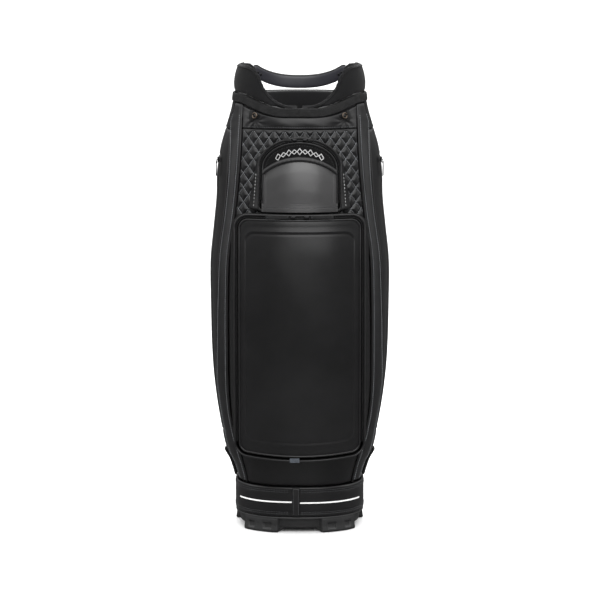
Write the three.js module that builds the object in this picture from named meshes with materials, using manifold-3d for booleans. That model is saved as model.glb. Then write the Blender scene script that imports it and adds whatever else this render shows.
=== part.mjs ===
// Golf staff bag: a padded, six-way club bag with a main pocket, an upper pocket and two side pockets.
// Millimetres, +Z up, the pockets face -Y. The origin is the middle of the footprint, on the ground.
import * as THREE from 'three';
import { mergeVertices } from 'three/addons/utils/BufferGeometryUtils.js';
import Module from 'manifold-3d';

const wasm = await Module();
wasm.setup();

// ---- Driving dimensions ----
const gap = 0.4; // left between pieces that touch
const sectionPower = 2.4; // the body's section is a superellipse of this power
const skin = 3; // thickness of the leather and foam panels

// The body's half width, front depth and back depth, each as [height, size].
const halfWidth = profile([[88, 122], [108, 127.5], [130, 135], [150, 146], [200, 157], [262, 167.5],
  [330, 174.5], [450, 178], [535, 178], [600, 171.5], [660, 165.5], [710, 164], [760, 156.5], [800, 145],
  [840, 134], [870, 130]]);
const frontDepth = profile([[88, 121], [150, 128], [250, 138], [400, 146], [550, 147], [640, 143],
  [720, 139], [800, 134], [870, 129]]);
const backDepth = profile([[88, 121], [300, 125], [600, 128], [800, 127], [870, 123]]);

// The curved rails that edge the side pockets: half width of each edge at a height.
const railInner = profile([[88, 103], [100, 105], [130, 112], [165, 122], [190, 129], [250, 139],
  [390, 142], [465, 141.5], [550, 138.5], [635, 127], [695, 120.5], [760, 116], [850, 112.5]]);
const railWidth = profile([[88, 16], [130, 20], [200, 21], [300, 22], [550, 19], [695, 20], [850, 22]]);

const tube = { radius: 114, wall: 3, low: 20.5, high: 798 };
const tray = { halfX: 128, halfY: 126, ground: 0, floor: 8, shoulder: 27.5, lip: 31.5, top: 86, recess: 7 };
const belt = { low: 32, high: 91.6, halfX: 128.8, halfY: 126.8, thick: 6 };
const rim = { frontHeight: 841, sideHeight: 866, backHeight: 862, bindingHeight: 17 };
const bandLow = 800; // lower edge of the plain band under the rim binding
const quiltLow = 626; // lower edge of the quilted panel, behind the top of the main pocket
const yokeLow = 795; // lower edge of the woven yokes at the shoulders
const mainPocket = { halfX: 127.5, low: 158, high: 637, corner: 28, sag: 6, planRadius: 243, wall: 3, zip: 3.4 };
const upperPocket = { halfX: 81.5, low: 643, spring: 725, high: 785.6, planRadius: 150, wall: 3, zip: 3.4 };
const sideZipAngle = 77; // degrees round from the front
const sideDoor = { front: 78.4, rear: 133, low: 190, high: 742 };
const strap = { x: 76, low: 335, high: 785, stand: 17.5, bow: 36, width: 58, endHalf: 10, thick: 13 };
const spine = { halfX: 22, low: 120, high: 838, thick: 9 };

// How far each pocket's face stands in front of the body's centre line.
const mainFaceDepth = profile([[150, 171], [250, 186], [400, 192], [550, 188], [640, 178]]);
const upperFaceDepth = profile([[640, 172], [716, 166], [760, 157], [790, 149]]);

// ---- Materials ----
const leather = material(0x17171a, 0.42);
const smoothLeather = material(0x1d1d20, 0.3);
const quilted = material(0x141416, 0.5);
const webbing = material(0x101012, 0.85);
const knit = material(0x0d0d0f, 0.95);
const neoprene = material(0x18181c, 0.8);
const moulded = material(0x0c0c0d, 0.5);
const satin = material(0x2b2c33, 0.4);
const zipTape = material(0x0a0a0b, 0.7);
const metal = material(0x8a7c66, 0.35, 1);
const darkMetal = material(0x1b1b1d, 0.4, 0.8);
const white = material(0xe8e8e6, 0.6);
const foam = material(0x303032, 0.9);

const bag = new THREE.Group();
buildBase();
buildTubeAndDividers();
buildTop();
buildBodyPanels();
buildMainPocket();
buildUpperPocket();
for (const side of [-1, 1]) {
  buildSidePocket(side);
}
buildBack();
centreOnGround();

export default bag;

// ---- Pieces ----
function buildBase() {
  const { recess, shoulder, lip, top } = tray;
  const section = [[recess, 12], [recess, shoulder - 1.5], [0, shoulder], [0, lip], [6, lip], [6, top], [10, top], [10, 12]];
  const wall = ring(section, tray.halfX, tray.halfY);
  const floor = disc(tray.halfX - recess, tray.halfY - recess, tray.floor, 14);
  let body = solid(wall).add(solid(floor));
  for (const [from, to] of [[15, 57], [303, 345], [98, 128], [232, 262], [160, 200]]) {
    body = body.add(solid(foot(from, to, 0, 13, 30))).add(solid(foot(from, to, 12.9, shoulder + 0.4, 9.5)));
  }
  for (const side of [-1, 1]) {
    for (const angle of [26, 45]) {
      body = body.subtract(solid(footWindow(side * angle)));
    }
  }
  piece('base_tray', geometryOf(body), moulded);
  piece('base_floor_pad', disc(112, 111, 14.5, tube.low - gap), foam);

  const strapLoop = [[0, belt.low], [0, belt.high], [belt.thick, belt.high], [belt.thick, belt.low]];
  piece('base_belt', ring(strapLoop, belt.halfX, belt.halfY), leather);
  piece('belt_lap', beltPatch(-15, 0, belt.low + 1, belt.high - 1, gap, 2.2), leather);
  piece('belt_stripe_left', beltPatch(-118, -16, 60.4, 63.4, gap, 1.1), white);
  piece('belt_stripe_right', beltPatch(1, 118, 58.8, 61.8, gap, 1.1), white);
}

function buildTubeAndDividers() {
  const outer = tube.radius;
  const loop = [[0, tube.low], [0, tube.high], [tube.wall, tube.high], [tube.wall, tube.low]];
  piece('club_tube', ring(loop, outer, outer, 2), moulded);
  const inside = outer - tube.wall - gap - 0.9;
  piece('divider_centre', divider(-inside, inside, Math.PI / 2), knit);
  for (const [side, sideName] of [[-1, 'left'], [1, 'right']]) {
    for (const [end, endName] of [[-1, 'front'], [1, 'rear']]) {
      const reach = Math.sqrt(inside ** 2 - 48 ** 2);
      const geometry = divider(11.6, reach, side > 0 ? 0 : Math.PI);
      geometry.translate(0, end * 37, 0);
      piece(`divider_${sideName}_${endName}`, geometry, knit);
    }
  }
}

function buildTop() {
  const around = steps(0, 360, 48).slice(0, -1);
  const cuffLow = tube.high + gap;
  const cuffInner = (angle) => superellipse(angle, 111, 111, 111, 2);
  const cuffTop = (angle) => rimHeight(angle) - 1.4;
  const cuffOutside = (angle, v) => bodyPoint(angle, cuffLow + v * (cuffTop(angle) - cuffLow), -skin - 2.4);
  const cuffInside = (angle, v) => {
    const point = cuffInner(angle);
    return new THREE.Vector3(point.x, point.y, cuffLow + v * (cuffTop(angle) - cuffLow));
  };
  piece('top_cuff', shell(cuffOutside, cuffInside, around, steps(0, 1, 4), true), moulded);

  const bindingFace = (offset) => (angle, v) => {
    const high = rimHeight(angle);
    return bodyPoint(angle, high - rim.bindingHeight * (1 - v), offset);
  };
  piece('rim_binding', shell(bindingFace(2.2), bindingFace(-skin), around, [0, 1], true), webbing);

  for (const [side, sideName] of [[-1, 'left'], [1, 'right']]) {
    const earFace = (offset) => (angle, v) => {
      const low = rimHeight(angle) + gap;
      const high = earHeight(angle);
      const lean = offset < 0 ? 6 * v : -3 * v * v;
      return bodyPoint(side * angle, low + v * (high - low), offset + lean);
    };
    const angles = steps(0.2, 137.6, 26);
    piece(`collar_pad_${sideName}`, shell(earFace(0), earFace(-20), angles, [0, 0.5, 0.85, 1]), neoprene);
  }

  const handleFace = (offset) => (angle, v) => {
    const share = ((angle - 180) / 41.8) ** 2;
    return bodyPoint(angle, 864.6 + 24.5 * share + 25 * v, offset);
  };
  piece('top_handle', shell(handleFace(-1), handleFace(-8), steps(138.2, 221.8, 20), [0, 0.5, 1]), satin);
}

function buildBodyPanels() {
  const frontAngle = (u, z) => u * (angleOfX(railInner(z), z) - 0.7);
  const underRim = (angle) => rimHeight(angle) - rim.bindingHeight - gap;
  const across = steps(-1, 1, 14);
  piece('front_band', panel(frontAngle, across, bandLow + gap, underRim, 3), smoothLeather);
  piece('quilted_panel', panel(frontAngle, across, quiltLow, () => bandLow, 6), quilted);
  piece('lower_front_panel', panel(frontAngle, across, 92, () => quiltLow - gap, 14), leather);
  for (const [side, sideName] of [[-1, 'left'], [1, 'right']]) {
    const railAngle = (u, z) => side * (angleOfX(railInner(z), z) * (1 - u) + railOuterAngle(z) * u);
    piece(`rail_${sideName}`, panel(railAngle, [0, 0.5, 1], 92, underRim, 22, 1.5), leather);

    const zipAngle = sideZipAngle - 1;
    const sideAngle = (u, z) => {
      const from = railOuterAngle(z) + 0.9;
      return side * (from * (1 - u) + zipAngle * u);
    };
    const aroundAngle = (u) => side * (zipAngle - 2 + (sideDoor.rear - zipAngle + 2) * u);
    const strip = panel(sideAngle, [0, 0.5, 1], 92, () => yokeLow - gap, 16);
    const under = panel(aroundAngle, steps(0, 1, 6), 92, () => sideDoor.low - gap, 4);
    const over = panel(aroundAngle, steps(0, 1, 6), sideDoor.high + gap, () => yokeLow - gap, 2);
    piece(`side_panel_${sideName}`, geometryOf(solid(strip).add(solid(under)).add(solid(over))), leather);

    const yokeAngle = (u, z) => side * ((railOuterAngle(z) + 1.4) * (1 - u) + (sideDoor.rear + 0.2) * u);
    piece(`shoulder_yoke_${sideName}`, panel(yokeAngle, steps(0, 1, 8), yokeLow, underRim, 4), webbing);

    const tabAngle = (u) => side * (86 + 11 * u);
    const tab = panel(tabAngle, [0, 0.5, 1], 95, () => 150, 3, 6.4, 2.4);
    piece(`webbing_tab_${sideName}`, tab, webbing);

    const stud = new THREE.CylinderGeometry(6, 6.6, 4, 16);
    const seat = bodyPoint(side * angleOfX(86, 826), 826, 0);
    const outward = new THREE.Vector3(seat.x * 0.55, seat.y, 0).normalize();
    stud.applyQuaternion(new THREE.Quaternion().setFromUnitVectors(new THREE.Vector3(0, 1, 0), outward));
    seat.addScaledVector(outward, 3.8);
    stud.translate(seat.x, seat.y, seat.z);
    piece(`snap_stud_${sideName}`, stud, metal);
  }
  const backAngle = (u) => 180 + u * (180 - sideDoor.rear - 0.9);
  piece('back_panel', panel(backAngle, steps(-1, 1, 12), 92, underRim, 10), leather);
}

function buildMainPocket() {
  const { halfX, low, high, corner, sag, wall, zip } = mainPocket;
  const outline = outlineOf(roundedRectangle(halfX, low, high, corner, sag), 5, 50);
  const flare = profile([[150, 1.5], [190, 3], [260, 8], [560, 8], [620, 5], [645, 1]]);
  const gussetFace = (inset) => (t, v) => {
    const point = outline.at(t, inset);
    const y = mainFaceY(point.x, point.y);
    if (v === 0) {
      return new THREE.Vector3(point.x, y, point.y);
    }
    const spread = 1 + flare(point.y) / halfX;
    const x = point.x * spread;
    return new THREE.Vector3(x, bodyFrontY(x, point.y) - 3.2, point.y);
  };
  piece('main_pocket_gusset', shell(gussetFace(0), gussetFace(wall), outline.whole(), [0, 1], true), knit);

  const zipFace = (inset) => (t, v) => {
    const point = outline.at(t, inset);
    return new THREE.Vector3(point.x, mainFaceY(point.x, point.y) + 0.6 + 2.6 * v, point.y);
  };
  const chain = outline.above(low + corner);
  const zipOuter = wall + gap;
  piece('main_pocket_zip', shell(zipFace(zipOuter), zipFace(zipOuter + zip), chain, [0, 1]), zipTape);

  const inset = zipOuter + zip + 2 * gap;
  const doorShape = roundedRectangle(halfX - inset, low + inset, high - inset, corner - inset, sag);
  piece('main_pocket_door', faceSlab(doorShape, mainFaceY, wall, [12, 10]), leather);

  // The sliders and pulls stand in front of the zip, clear of the door below them.
  for (const [side, sideName] of [[-1, 'left'], [1, 'right']]) {
    const z = high - zipOuter + 0.4;
    const x = side * 13;
    const y = mainFaceY(x, z);
    const slider = bevelledBox(11, 4, 6.6, 0.8);
    slider.translate(x, y - 2.6, z);
    piece(`main_slider_${sideName}`, slider, darkMetal);
    const pull = bevelledBox(45, 2.4, 6.4, 0.7);
    pull.translate(x + side * 30.2, y - 3.2, z);
    piece(`main_pull_${sideName}`, pull, webbing);
  }
}

function buildUpperPocket() {
  const { halfX, low, spring, high, wall, zip } = upperPocket;
  const outline = outlineOf(arch(halfX, low, spring, high), 12, 25);
  const flare = profile([[640, 20], [680, 13], [720, 6], [760, 2], [790, 0]]);
  const gussetFace = (inset) => (t, v) => {
    const point = outline.at(t, inset);
    if (v === 0) {
      return new THREE.Vector3(point.x, upperFaceY(point.x, point.y), point.y);
    }
    const x = point.x * (1 + flare(point.y) / halfX);
    return new THREE.Vector3(x, bodyFrontY(x, point.y) - gap - 0.6, point.y);
  };
  piece('upper_pocket_gusset', shell(gussetFace(0), gussetFace(wall), outline.whole(), [0, 1], true), knit);

  const zipOuter = wall + gap;
  const zipFace = (inset) => (t, v) => {
    const point = outline.at(t, inset);
    return new THREE.Vector3(point.x, upperFaceY(point.x, point.y) + 0.6 + 2.4 * v, point.y);
  };
  const chain = outline.above(low + 20);
  piece('upper_pocket_zip', shell(zipFace(zipOuter), zipFace(zipOuter + zip), chain, [0, 1]), zipTape);

  const inset = zipOuter + zip + 2 * gap;
  const doorShape = arch(halfX - inset, low + inset, spring, high - inset);
  piece('upper_pocket_door', faceSlab(doorShape, upperFaceY, wall, [10, 10]), smoothLeather);

  const foldFace = (outward) => (u, v) => {
    const centre = upperFoldPoint(u);
    const z = centre.z + 10 * (v - 0.5);
    const y = upperFaceY(centre.x, z);
    return new THREE.Vector3(centre.x, y - (outward ? 6.5 - 3 * (2 * v - 1) ** 2 : gap), z);
  };
  piece('upper_pocket_fold', shell(foldFace(true), foldFace(false), steps(-1, 1, 14), steps(0, 1, 3)), leather);

  for (const [side, sideName] of [[-1, 'left'], [1, 'right']]) {
    const x = side * 10;
    const z = high - zipOuter - 0.6;
    const y = upperFaceY(x, z);
    const slider = bevelledBox(9, 3.6, 4.6, 0.7);
    slider.translate(x, y - 3, z);
    piece(`upper_slider_${sideName}`, slider, darkMetal);
    const pull = bevelledBox(14, 1.8, 4.2, 0.6);
    pull.translate(x + side * 13, y - 3.6, z);
    piece(`upper_pull_${sideName}`, pull, webbing);
  }
}

function buildSidePocket(side) {
  const sideName = side < 0 ? 'left' : 'right';
  const doorAngle = (u) => side * (sideDoor.front * (1 - u) + sideDoor.rear * u);
  const door = panel(doorAngle, steps(0, 1, 8), sideDoor.low, () => sideDoor.high, 10);
  piece(`side_pocket_door_${sideName}`, door, leather);
  const chainAngle = (u) => side * (sideZipAngle - 0.6 + 1.5 * u);
  const chain = panel(chainAngle, [0, 1], sideDoor.low, () => sideDoor.high, 10, -0.4);
  piece(`side_zip_${sideName}`, chain, zipTape);

  const z = 735;
  const seat = bodyPoint(side * sideZipAngle, z, 0);
  const slider = bevelledBox(4, 7, 11, 0.8);
  slider.translate(seat.x + side * 3.4, seat.y - 4, z);
  piece(`side_slider_${sideName}`, slider, darkMetal);
  const pull = pullLoop(10, 30, 2, 2.4);
  pull.rotateZ(Math.PI / 2);
  pull.translate(seat.x + side * 7.2, seat.y - 6, z - 3);
  piece(`side_pull_${sideName}`, pull, metal);
}

function buildBack() {
  const spineAngle = (u, z) => 180 + u * angleOfX(spine.halfX, z);
  const spineTop = () => spine.high;
  piece('back_spine', panel(spineAngle, steps(-1, 1, 4), spine.low, spineTop, 8, spine.thick, gap), moulded);

  const grip = { low: 560, high: 700, stand: 44, thick: 13, width: 30 };
  const seatY = backDepth(grip.low) + spine.thick + gap + 0.8;
  const outline = new THREE.Shape();
  outline.moveTo(0, grip.low);
  outline.bezierCurveTo(grip.stand, grip.low, grip.stand, grip.low + 20, grip.stand, (grip.low + grip.high) / 2);
  outline.bezierCurveTo(grip.stand, grip.high - 20, grip.stand, grip.high, 0, grip.high);
  outline.lineTo(0, grip.high - 16);
  const inner = grip.stand - grip.thick;
  outline.bezierCurveTo(inner, grip.high - 16, inner, grip.high - 30, inner, (grip.low + grip.high) / 2);
  outline.bezierCurveTo(inner, grip.low + 30, inner, grip.low + 16, 0, grip.low + 16);
  outline.closePath();
  piece('spine_handle', sideExtrusion(outline, grip.width, 0, seatY, 6), leather);

  for (const [z, endName] of [[strap.high, 'upper'], [strap.low, 'lower']]) {
    const seat = bodyPoint(180 - angleOfX(strap.x, z), z, 0);
    const anchor = bevelledBox(34, 5, 26, 1);
    anchor.rotateZ(strapAnchorTurn(z));
    anchor.translate(seat.x + 2.4, seat.y + 4.4, z);
    piece(`strap_anchor_${endName}`, anchor, webbing);
  }
  const top = bodyPoint(180 - angleOfX(strap.x, strap.high), strap.high, 0).y + strap.stand;
  const bottom = bodyPoint(180 - angleOfX(strap.x, strap.low), strap.low, 0).y + strap.stand;
  const padded = profile([[0, 0], [0.12, 0.1], [0.25, 1], [0.75, 1], [0.88, 0.1], [1, 0]]);
  const face = (outward) => (u, v) => {
    const full = THREE.MathUtils.clamp(padded(v), 0, 1);
    const half = strap.endHalf + (strap.width / 2 - strap.endHalf) * full;
    const bow = strap.bow * Math.sin(Math.PI * v);
    const thick = 4 + (strap.thick - 4) * full * (1 - 0.5 * u ** 4);
    const y = bottom + (top - bottom) * v + bow + (outward ? thick : 0);
    return new THREE.Vector3(strap.x + u * half, y, strap.low - 6 + (strap.high - strap.low + 12) * v);
  };
  piece('shoulder_strap', shell(face(true), face(false), steps(-1, 1, 4), steps(0, 1, 16)), leather);
}

// ---- Shapes of the body ----
function rimHeight(angle) {
  const turn = Math.abs(((angle + 180) % 360 + 360) % 360 - 180);
  const front = rim.frontHeight + (rim.sideHeight - rim.frontHeight) * smooth(turn, 8, 62);
  return front + (rim.backHeight - rim.sideHeight) * smooth(turn, 100, 140);
}

function earHeight(angle) {
  const rise = profile([[0, 847], [10, 849], [20, 861], [30, 881], [38, 908], [46, 920], [58, 924],
    [100, 924], [120, 922], [132, 916], [138, 910]]);
  return Math.max(rise(angle), rimHeight(angle) + 5);
}

function bodyPoint(angle, z, offset) {
  const point = superellipse(angle, halfWidth(z) + offset, frontDepth(z) + offset, backDepth(z) + offset);
  return new THREE.Vector3(point.x, point.y, z);
}

function superellipse(angle, half, front, back, power = sectionPower) {
  const sine = Math.sin(THREE.MathUtils.degToRad(angle));
  const cosine = Math.cos(THREE.MathUtils.degToRad(angle));
  const x = half * Math.sign(sine) * Math.abs(sine) ** (2 / power);
  const depth = cosine > 0 ? front : back;
  return new THREE.Vector2(x, -depth * Math.sign(cosine) * Math.abs(cosine) ** (2 / power));
}

function angleOfX(x, z) {
  const share = Math.min(Math.abs(x) / halfWidth(z), 1);
  return Math.sign(x) * THREE.MathUtils.radToDeg(Math.asin(share ** (sectionPower / 2)));
}

// The rail's outer edge, in degrees. Low down it stops short of the side zip.
function railOuterAngle(z) {
  const outerX = Math.min(railInner(z) + railWidth(z), halfWidth(z));
  return Math.min(angleOfX(outerX, z), 71);
}

function bodyFrontY(x, z) {
  return bodyPoint(angleOfX(x, z), z, 0).y;
}

function mainFaceY(x, z) {
  return -mainFaceDepth(z) + arcDrop(x, mainPocket.planRadius);
}

function upperFaceY(x, z) {
  return -upperFaceDepth(z) + arcDrop(x, upperPocket.planRadius);
}

function upperFoldPoint(u) {
  const turn = u * THREE.MathUtils.degToRad(42.5);
  const radius = 109;
  return new THREE.Vector3(radius * Math.sin(turn), 0, 745 - radius * (1 - Math.cos(turn)));
}

function arcDrop(x, radius) {
  return radius - Math.sqrt(radius * radius - x * x);
}

function strapAnchorTurn(z) {
  const angle = 180 - angleOfX(strap.x, z);
  const before = bodyPoint(angle + 3, z, 0);
  const after = bodyPoint(angle - 3, z, 0);
  return Math.atan2(after.y - before.y, after.x - before.x);
}

// A panel of the body's skin: angleAt(u, z) in degrees, from the height low up to high(angle).
function panel(angleAt, us, low, high, rows, outer = 0, inner = -skin) {
  const face = (offset) => (u, v) => {
    const top = high(angleAt(u, low + 1));
    const z = low + v * (high(angleAt(u, top)) - low);
    return bodyPoint(angleAt(u, z), z, offset);
  };
  return shell(face(outer), face(inner), us, steps(0, 1, rows));
}

// ---- Solid makers ----
// A closed solid between two surfaces, each a function of (u, v). With wrap, u runs right round.
function shell(outside, inside, us, vs, wrap = false) {
  const positions = [];
  for (const face of [outside, inside]) {
    for (const v of vs) {
      for (const u of us) {
        positions.push(...face(u, v).toArray());
      }
    }
  }
  const columns = us.length;
  const rows = vs.length;
  const id = (face, column, row) => (face * rows + row) * columns + (column % columns);
  const faces = [];
  const quad = (a, b, c, d) => faces.push(a, b, c, a, c, d);
  const lastColumn = wrap ? columns : columns - 1;
  const lastRow = rows - 1;
  for (let c = 0; c < lastColumn; c++) {
    for (let r = 0; r < lastRow; r++) {
      quad(id(0, c, r), id(0, c + 1, r), id(0, c + 1, r + 1), id(0, c, r + 1));
      quad(id(1, c, r), id(1, c, r + 1), id(1, c + 1, r + 1), id(1, c + 1, r));
    }
    quad(id(0, c, 0), id(1, c, 0), id(1, c + 1, 0), id(0, c + 1, 0));
    quad(id(0, c, lastRow), id(0, c + 1, lastRow), id(1, c + 1, lastRow), id(1, c, lastRow));
  }
  if (!wrap) {
    for (let r = 0; r < lastRow; r++) {
      quad(id(0, 0, r), id(0, 0, r + 1), id(1, 0, r + 1), id(1, 0, r));
      quad(id(0, lastColumn, r), id(1, lastColumn, r), id(1, lastColumn, r + 1), id(0, lastColumn, r + 1));
    }
  }
  return facingOut(positions, faces);
}

// A ring whose cross-section is a closed loop of [inset, height] points.
function ring(loop, halfX, halfY, power = sectionPower) {
  const count = 48;
  const positions = [];
  for (let i = 0; i < count; i++) {
    for (const [inset, z] of loop) {
      const point = superellipse(i * 360 / count, halfX - inset, halfY - inset, halfY - inset, power);
      positions.push(point.x, point.y, z);
    }
  }
  const faces = [];
  for (let i = 0; i < count; i++) {
    for (let j = 0; j < loop.length; j++) {
      const here = i * loop.length;
      const next = ((i + 1) % count) * loop.length;
      const k = (j + 1) % loop.length;
      faces.push(here + j, next + j, next + k, here + j, next + k, here + k);
    }
  }
  return facingOut(positions, faces);
}

function facingOut(positions, faces) {
  const geometry = new THREE.BufferGeometry();
  geometry.setAttribute('position', new THREE.Float32BufferAttribute(positions, 3));
  const corner = (i) => new THREE.Vector3().fromArray(positions, 3 * i);
  let volume = 0;
  for (let i = 0; i < faces.length; i += 3) {
    volume += corner(faces[i]).dot(corner(faces[i + 1]).cross(corner(faces[i + 2])));
  }
  const ordered = volume > 0 ? faces : faces.slice().reverse();
  geometry.setIndex(ordered);
  geometry.computeVertexNormals();
  return geometry;
}

function disc(halfX, halfY, low, high) {
  const shape = new THREE.Shape();
  for (const angle of steps(0, 360, 48).slice(0, -1)) {
    const point = superellipse(angle, halfX, halfY, halfY);
    if (angle === 0) {
      shape.moveTo(point.x, point.y);
    } else {
      shape.lineTo(point.x, point.y);
    }
  }
  const geometry = new THREE.ExtrudeGeometry(shape, { depth: high - low, bevelEnabled: false });
  geometry.translate(0, 0, low);
  return geometry;
}

// One block of a foot, between two angles and two heights, reaching inset into the base.
function foot(from, to, low, high, inset) {
  const face = (outward) => (angle, v) => {
    const z = low + v * (high - low);
    const grow = outward ? 0.6 + 2.4 * Math.max(0, 1 - z / 13) : -inset;
    const point = superellipse(angle, tray.halfX + grow, tray.halfY + grow, tray.halfY + grow);
    return new THREE.Vector3(point.x, point.y, tray.ground + z);
  };
  return shell(face(true), face(false), steps(from, to, 6), [0, 1]);
}

function footWindow(angle) {
  const box = new THREE.BoxGeometry(20, 12, 12);
  const point = superellipse(angle, tray.halfX, tray.halfY, tray.halfY);
  const before = superellipse(angle - 4, tray.halfX, tray.halfY, tray.halfY);
  const after = superellipse(angle + 4, tray.halfX, tray.halfY, tray.halfY);
  box.rotateZ(Math.atan2(after.y - before.y, after.x - before.x));
  box.translate(point.x, point.y, 13);
  return box;
}

function beltPatch(fromX, toX, low, high, inner, outer) {
  const share = sectionPower / 2;
  const angle = (x) => THREE.MathUtils.radToDeg(Math.sign(x) * Math.asin((Math.abs(x) / belt.halfX) ** share));
  const face = (offset) => (u, v) => {
    const point = superellipse(u, belt.halfX + offset, belt.halfY + offset, belt.halfY + offset);
    return new THREE.Vector3(point.x, point.y, low + v * (high - low));
  };
  const columns = Math.max(2, Math.round((toX - fromX) / 9));
  return shell(face(outer), face(inner), steps(angle(fromX), angle(toX), columns), [0, 1]);
}

// A thin upright wall with a round padded top edge, reaching along +X and then turned.
function divider(from, to, turn) {
  const half = 1.5;
  const pad = 11;
  const top = 822;
  const outline = new THREE.Shape();
  outline.moveTo(-half, tube.low + gap);
  outline.lineTo(half, tube.low + gap);
  outline.lineTo(half, top - 2 * pad);
  outline.lineTo(pad * 0.8, top - 1.6 * pad);
  outline.lineTo(pad, top - pad);
  outline.absarc(0, top - pad, pad, 0, Math.PI, false);
  outline.lineTo(-pad * 0.8, top - 1.6 * pad);
  outline.lineTo(-half, top - 2 * pad);
  outline.closePath();
  const geometry = new THREE.ExtrudeGeometry(outline, { depth: to - from, bevelEnabled: false, curveSegments: 6 });
  geometry.rotateX(Math.PI / 2);
  geometry.rotateZ(Math.PI / 2);
  geometry.translate(from, 0, 0);
  geometry.rotateZ(turn);
  return geometry;
}

// A slab that follows y = faceY(x, z), cut to an outline.
function faceSlab(shape, faceY, thickness, [columns, rows]) {
  const points = shape.getPoints(10);
  const xs = points.map((point) => point.x);
  const zs = points.map((point) => point.y);
  const margin = 2;
  const across = steps(Math.min(...xs) - margin, Math.max(...xs) + margin, columns);
  const up = steps(Math.min(...zs) - margin, Math.max(...zs) + margin, rows);
  const face = (depth) => (x, z) => new THREE.Vector3(x, faceY(x, z) + depth, z);
  const slab = shell(face(0), face(thickness), across, up);
  const prism = new THREE.ExtrudeGeometry(shape, { depth: 400, bevelEnabled: false, curveSegments: 8 });
  prism.rotateX(Math.PI / 2);
  return geometryOf(solid(slab).intersect(solid(prism)));
}

// An outline in the Y-Z plane, drawn as (y, z), made width wide along X.
function sideExtrusion(outline, width, x, y, curveSegments) {
  const geometry = new THREE.ExtrudeGeometry(outline, { depth: width, bevelEnabled: false, curveSegments });
  geometry.rotateX(Math.PI / 2);
  geometry.rotateZ(Math.PI / 2);
  geometry.translate(x - width / 2, y, 0);
  return geometry;
}

function bevelledBox(sizeX, sizeY, sizeZ, bevel) {
  const shape = new THREE.Shape();
  const halfX = sizeX / 2;
  const halfZ = sizeZ / 2;
  shape.moveTo(-halfX + bevel, -halfZ);
  shape.lineTo(halfX - bevel, -halfZ);
  shape.lineTo(halfX, -halfZ + bevel);
  shape.lineTo(halfX, halfZ - bevel);
  shape.lineTo(halfX - bevel, halfZ);
  shape.lineTo(-halfX + bevel, halfZ);
  shape.lineTo(-halfX, halfZ - bevel);
  shape.lineTo(-halfX, -halfZ + bevel);
  shape.closePath();
  const geometry = new THREE.ExtrudeGeometry(shape, { depth: sizeY, bevelEnabled: false });
  geometry.rotateX(Math.PI / 2);
  geometry.translate(0, sizeY / 2, 0);
  return geometry;
}

// A flat loop hanging from the origin, with a slot through it.
function pullLoop(width, length, thickness, border) {
  const shape = roundedRectangle(width / 2, -length, 0, 2);
  shape.holes.push(roundedRectangle(width / 2 - border, -length + border, -border, 1));
  const geometry = new THREE.ExtrudeGeometry(shape, { depth: thickness, bevelEnabled: false, curveSegments: 3 });
  geometry.rotateX(Math.PI / 2);
  geometry.translate(0, thickness / 2, 0);
  return geometry;
}

// A rectangle with round corners. Its lower edge hangs by sag in the middle.
function roundedRectangle(halfX, low, high, radius, sag = 0) {
  const shape = new THREE.Shape();
  const flat = halfX - radius;
  shape.moveTo(0, low - sag);
  if (sag > 0) {
    shape.quadraticCurveTo(flat / 2, low - sag, flat, low);
  } else {
    shape.lineTo(flat, low);
  }
  shape.absarc(halfX - radius, low + radius, radius, -Math.PI / 2, 0, false);
  shape.absarc(halfX - radius, high - radius, radius, 0, Math.PI / 2, false);
  shape.absarc(-halfX + radius, high - radius, radius, Math.PI / 2, Math.PI, false);
  shape.absarc(-halfX + radius, low + radius, radius, Math.PI, Math.PI * 1.5, false);
  if (sag > 0) {
    shape.quadraticCurveTo(-flat / 2, low - sag, 0, low - sag);
  }
  shape.closePath();
  return shape;
}

function arch(halfX, low, spring, high) {
  const shape = new THREE.Shape();
  const foot = 8;
  shape.moveTo(0, low);
  shape.lineTo(halfX - foot, low);
  shape.absarc(halfX - foot, low + foot, foot, -Math.PI / 2, 0, false);
  shape.absellipse(0, spring, halfX, high - spring, 0, Math.PI, false, 0);
  shape.absarc(-halfX + foot, low + foot, foot, Math.PI, Math.PI * 1.5, false);
  shape.closePath();
  return shape;
}

// ---- Small tools ----
// A closed outline as numbered points, each of which can be moved in by an inset.
function outlineOf(shape, arcSteps, longest) {
  const points = [];
  const corners = shape.getPoints(arcSteps);
  corners.forEach((corner, i) => {
    const next = corners[(i + 1) % corners.length];
    const length = corner.distanceTo(next);
    const pieces = Math.ceil(length / longest);
    for (let k = 0; k < pieces; k++) {
      points.push(corner.clone().lerp(next, k / pieces));
    }
  });
  const total = points.length;
  const direction = (i) => {
    const here = points[i % total];
    return new THREE.Vector2().subVectors(points[(i + 1) % total], here).normalize();
  };
  const at = (i, inset) => {
    const before = direction(i + total - 1);
    const after = direction(i);
    const along = before.clone().add(after).normalize();
    const reach = inset / along.dot(after);
    return new THREE.Vector2(points[i].x - along.y * reach, points[i].y + along.x * reach);
  };
  const whole = () => points.map((_, i) => i);
  const above = (height) => whole().filter((i) => points[i].y > height);
  return { at, whole, above };
}

// A smooth curve through [position, value] pairs.
function profile(pairs) {
  const positions = pairs.map((pair) => pair[0]);
  const values = pairs.map((pair) => pair[1]);
  const curve = new THREE.CubicInterpolant(positions, values, 1);
  return (position) => curve.evaluate(THREE.MathUtils.clamp(position, positions[0], positions.at(-1)))[0];
}

function smooth(value, from, to) {
  return THREE.MathUtils.smoothstep(value, from, to);
}

function steps(from, to, count) {
  return Array.from({ length: count + 1 }, (_, i) => from + (to - from) * i / count);
}

function material(color, roughness, metalness = 0) {
  return new THREE.MeshStandardMaterial({ color, roughness, metalness });
}

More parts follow.
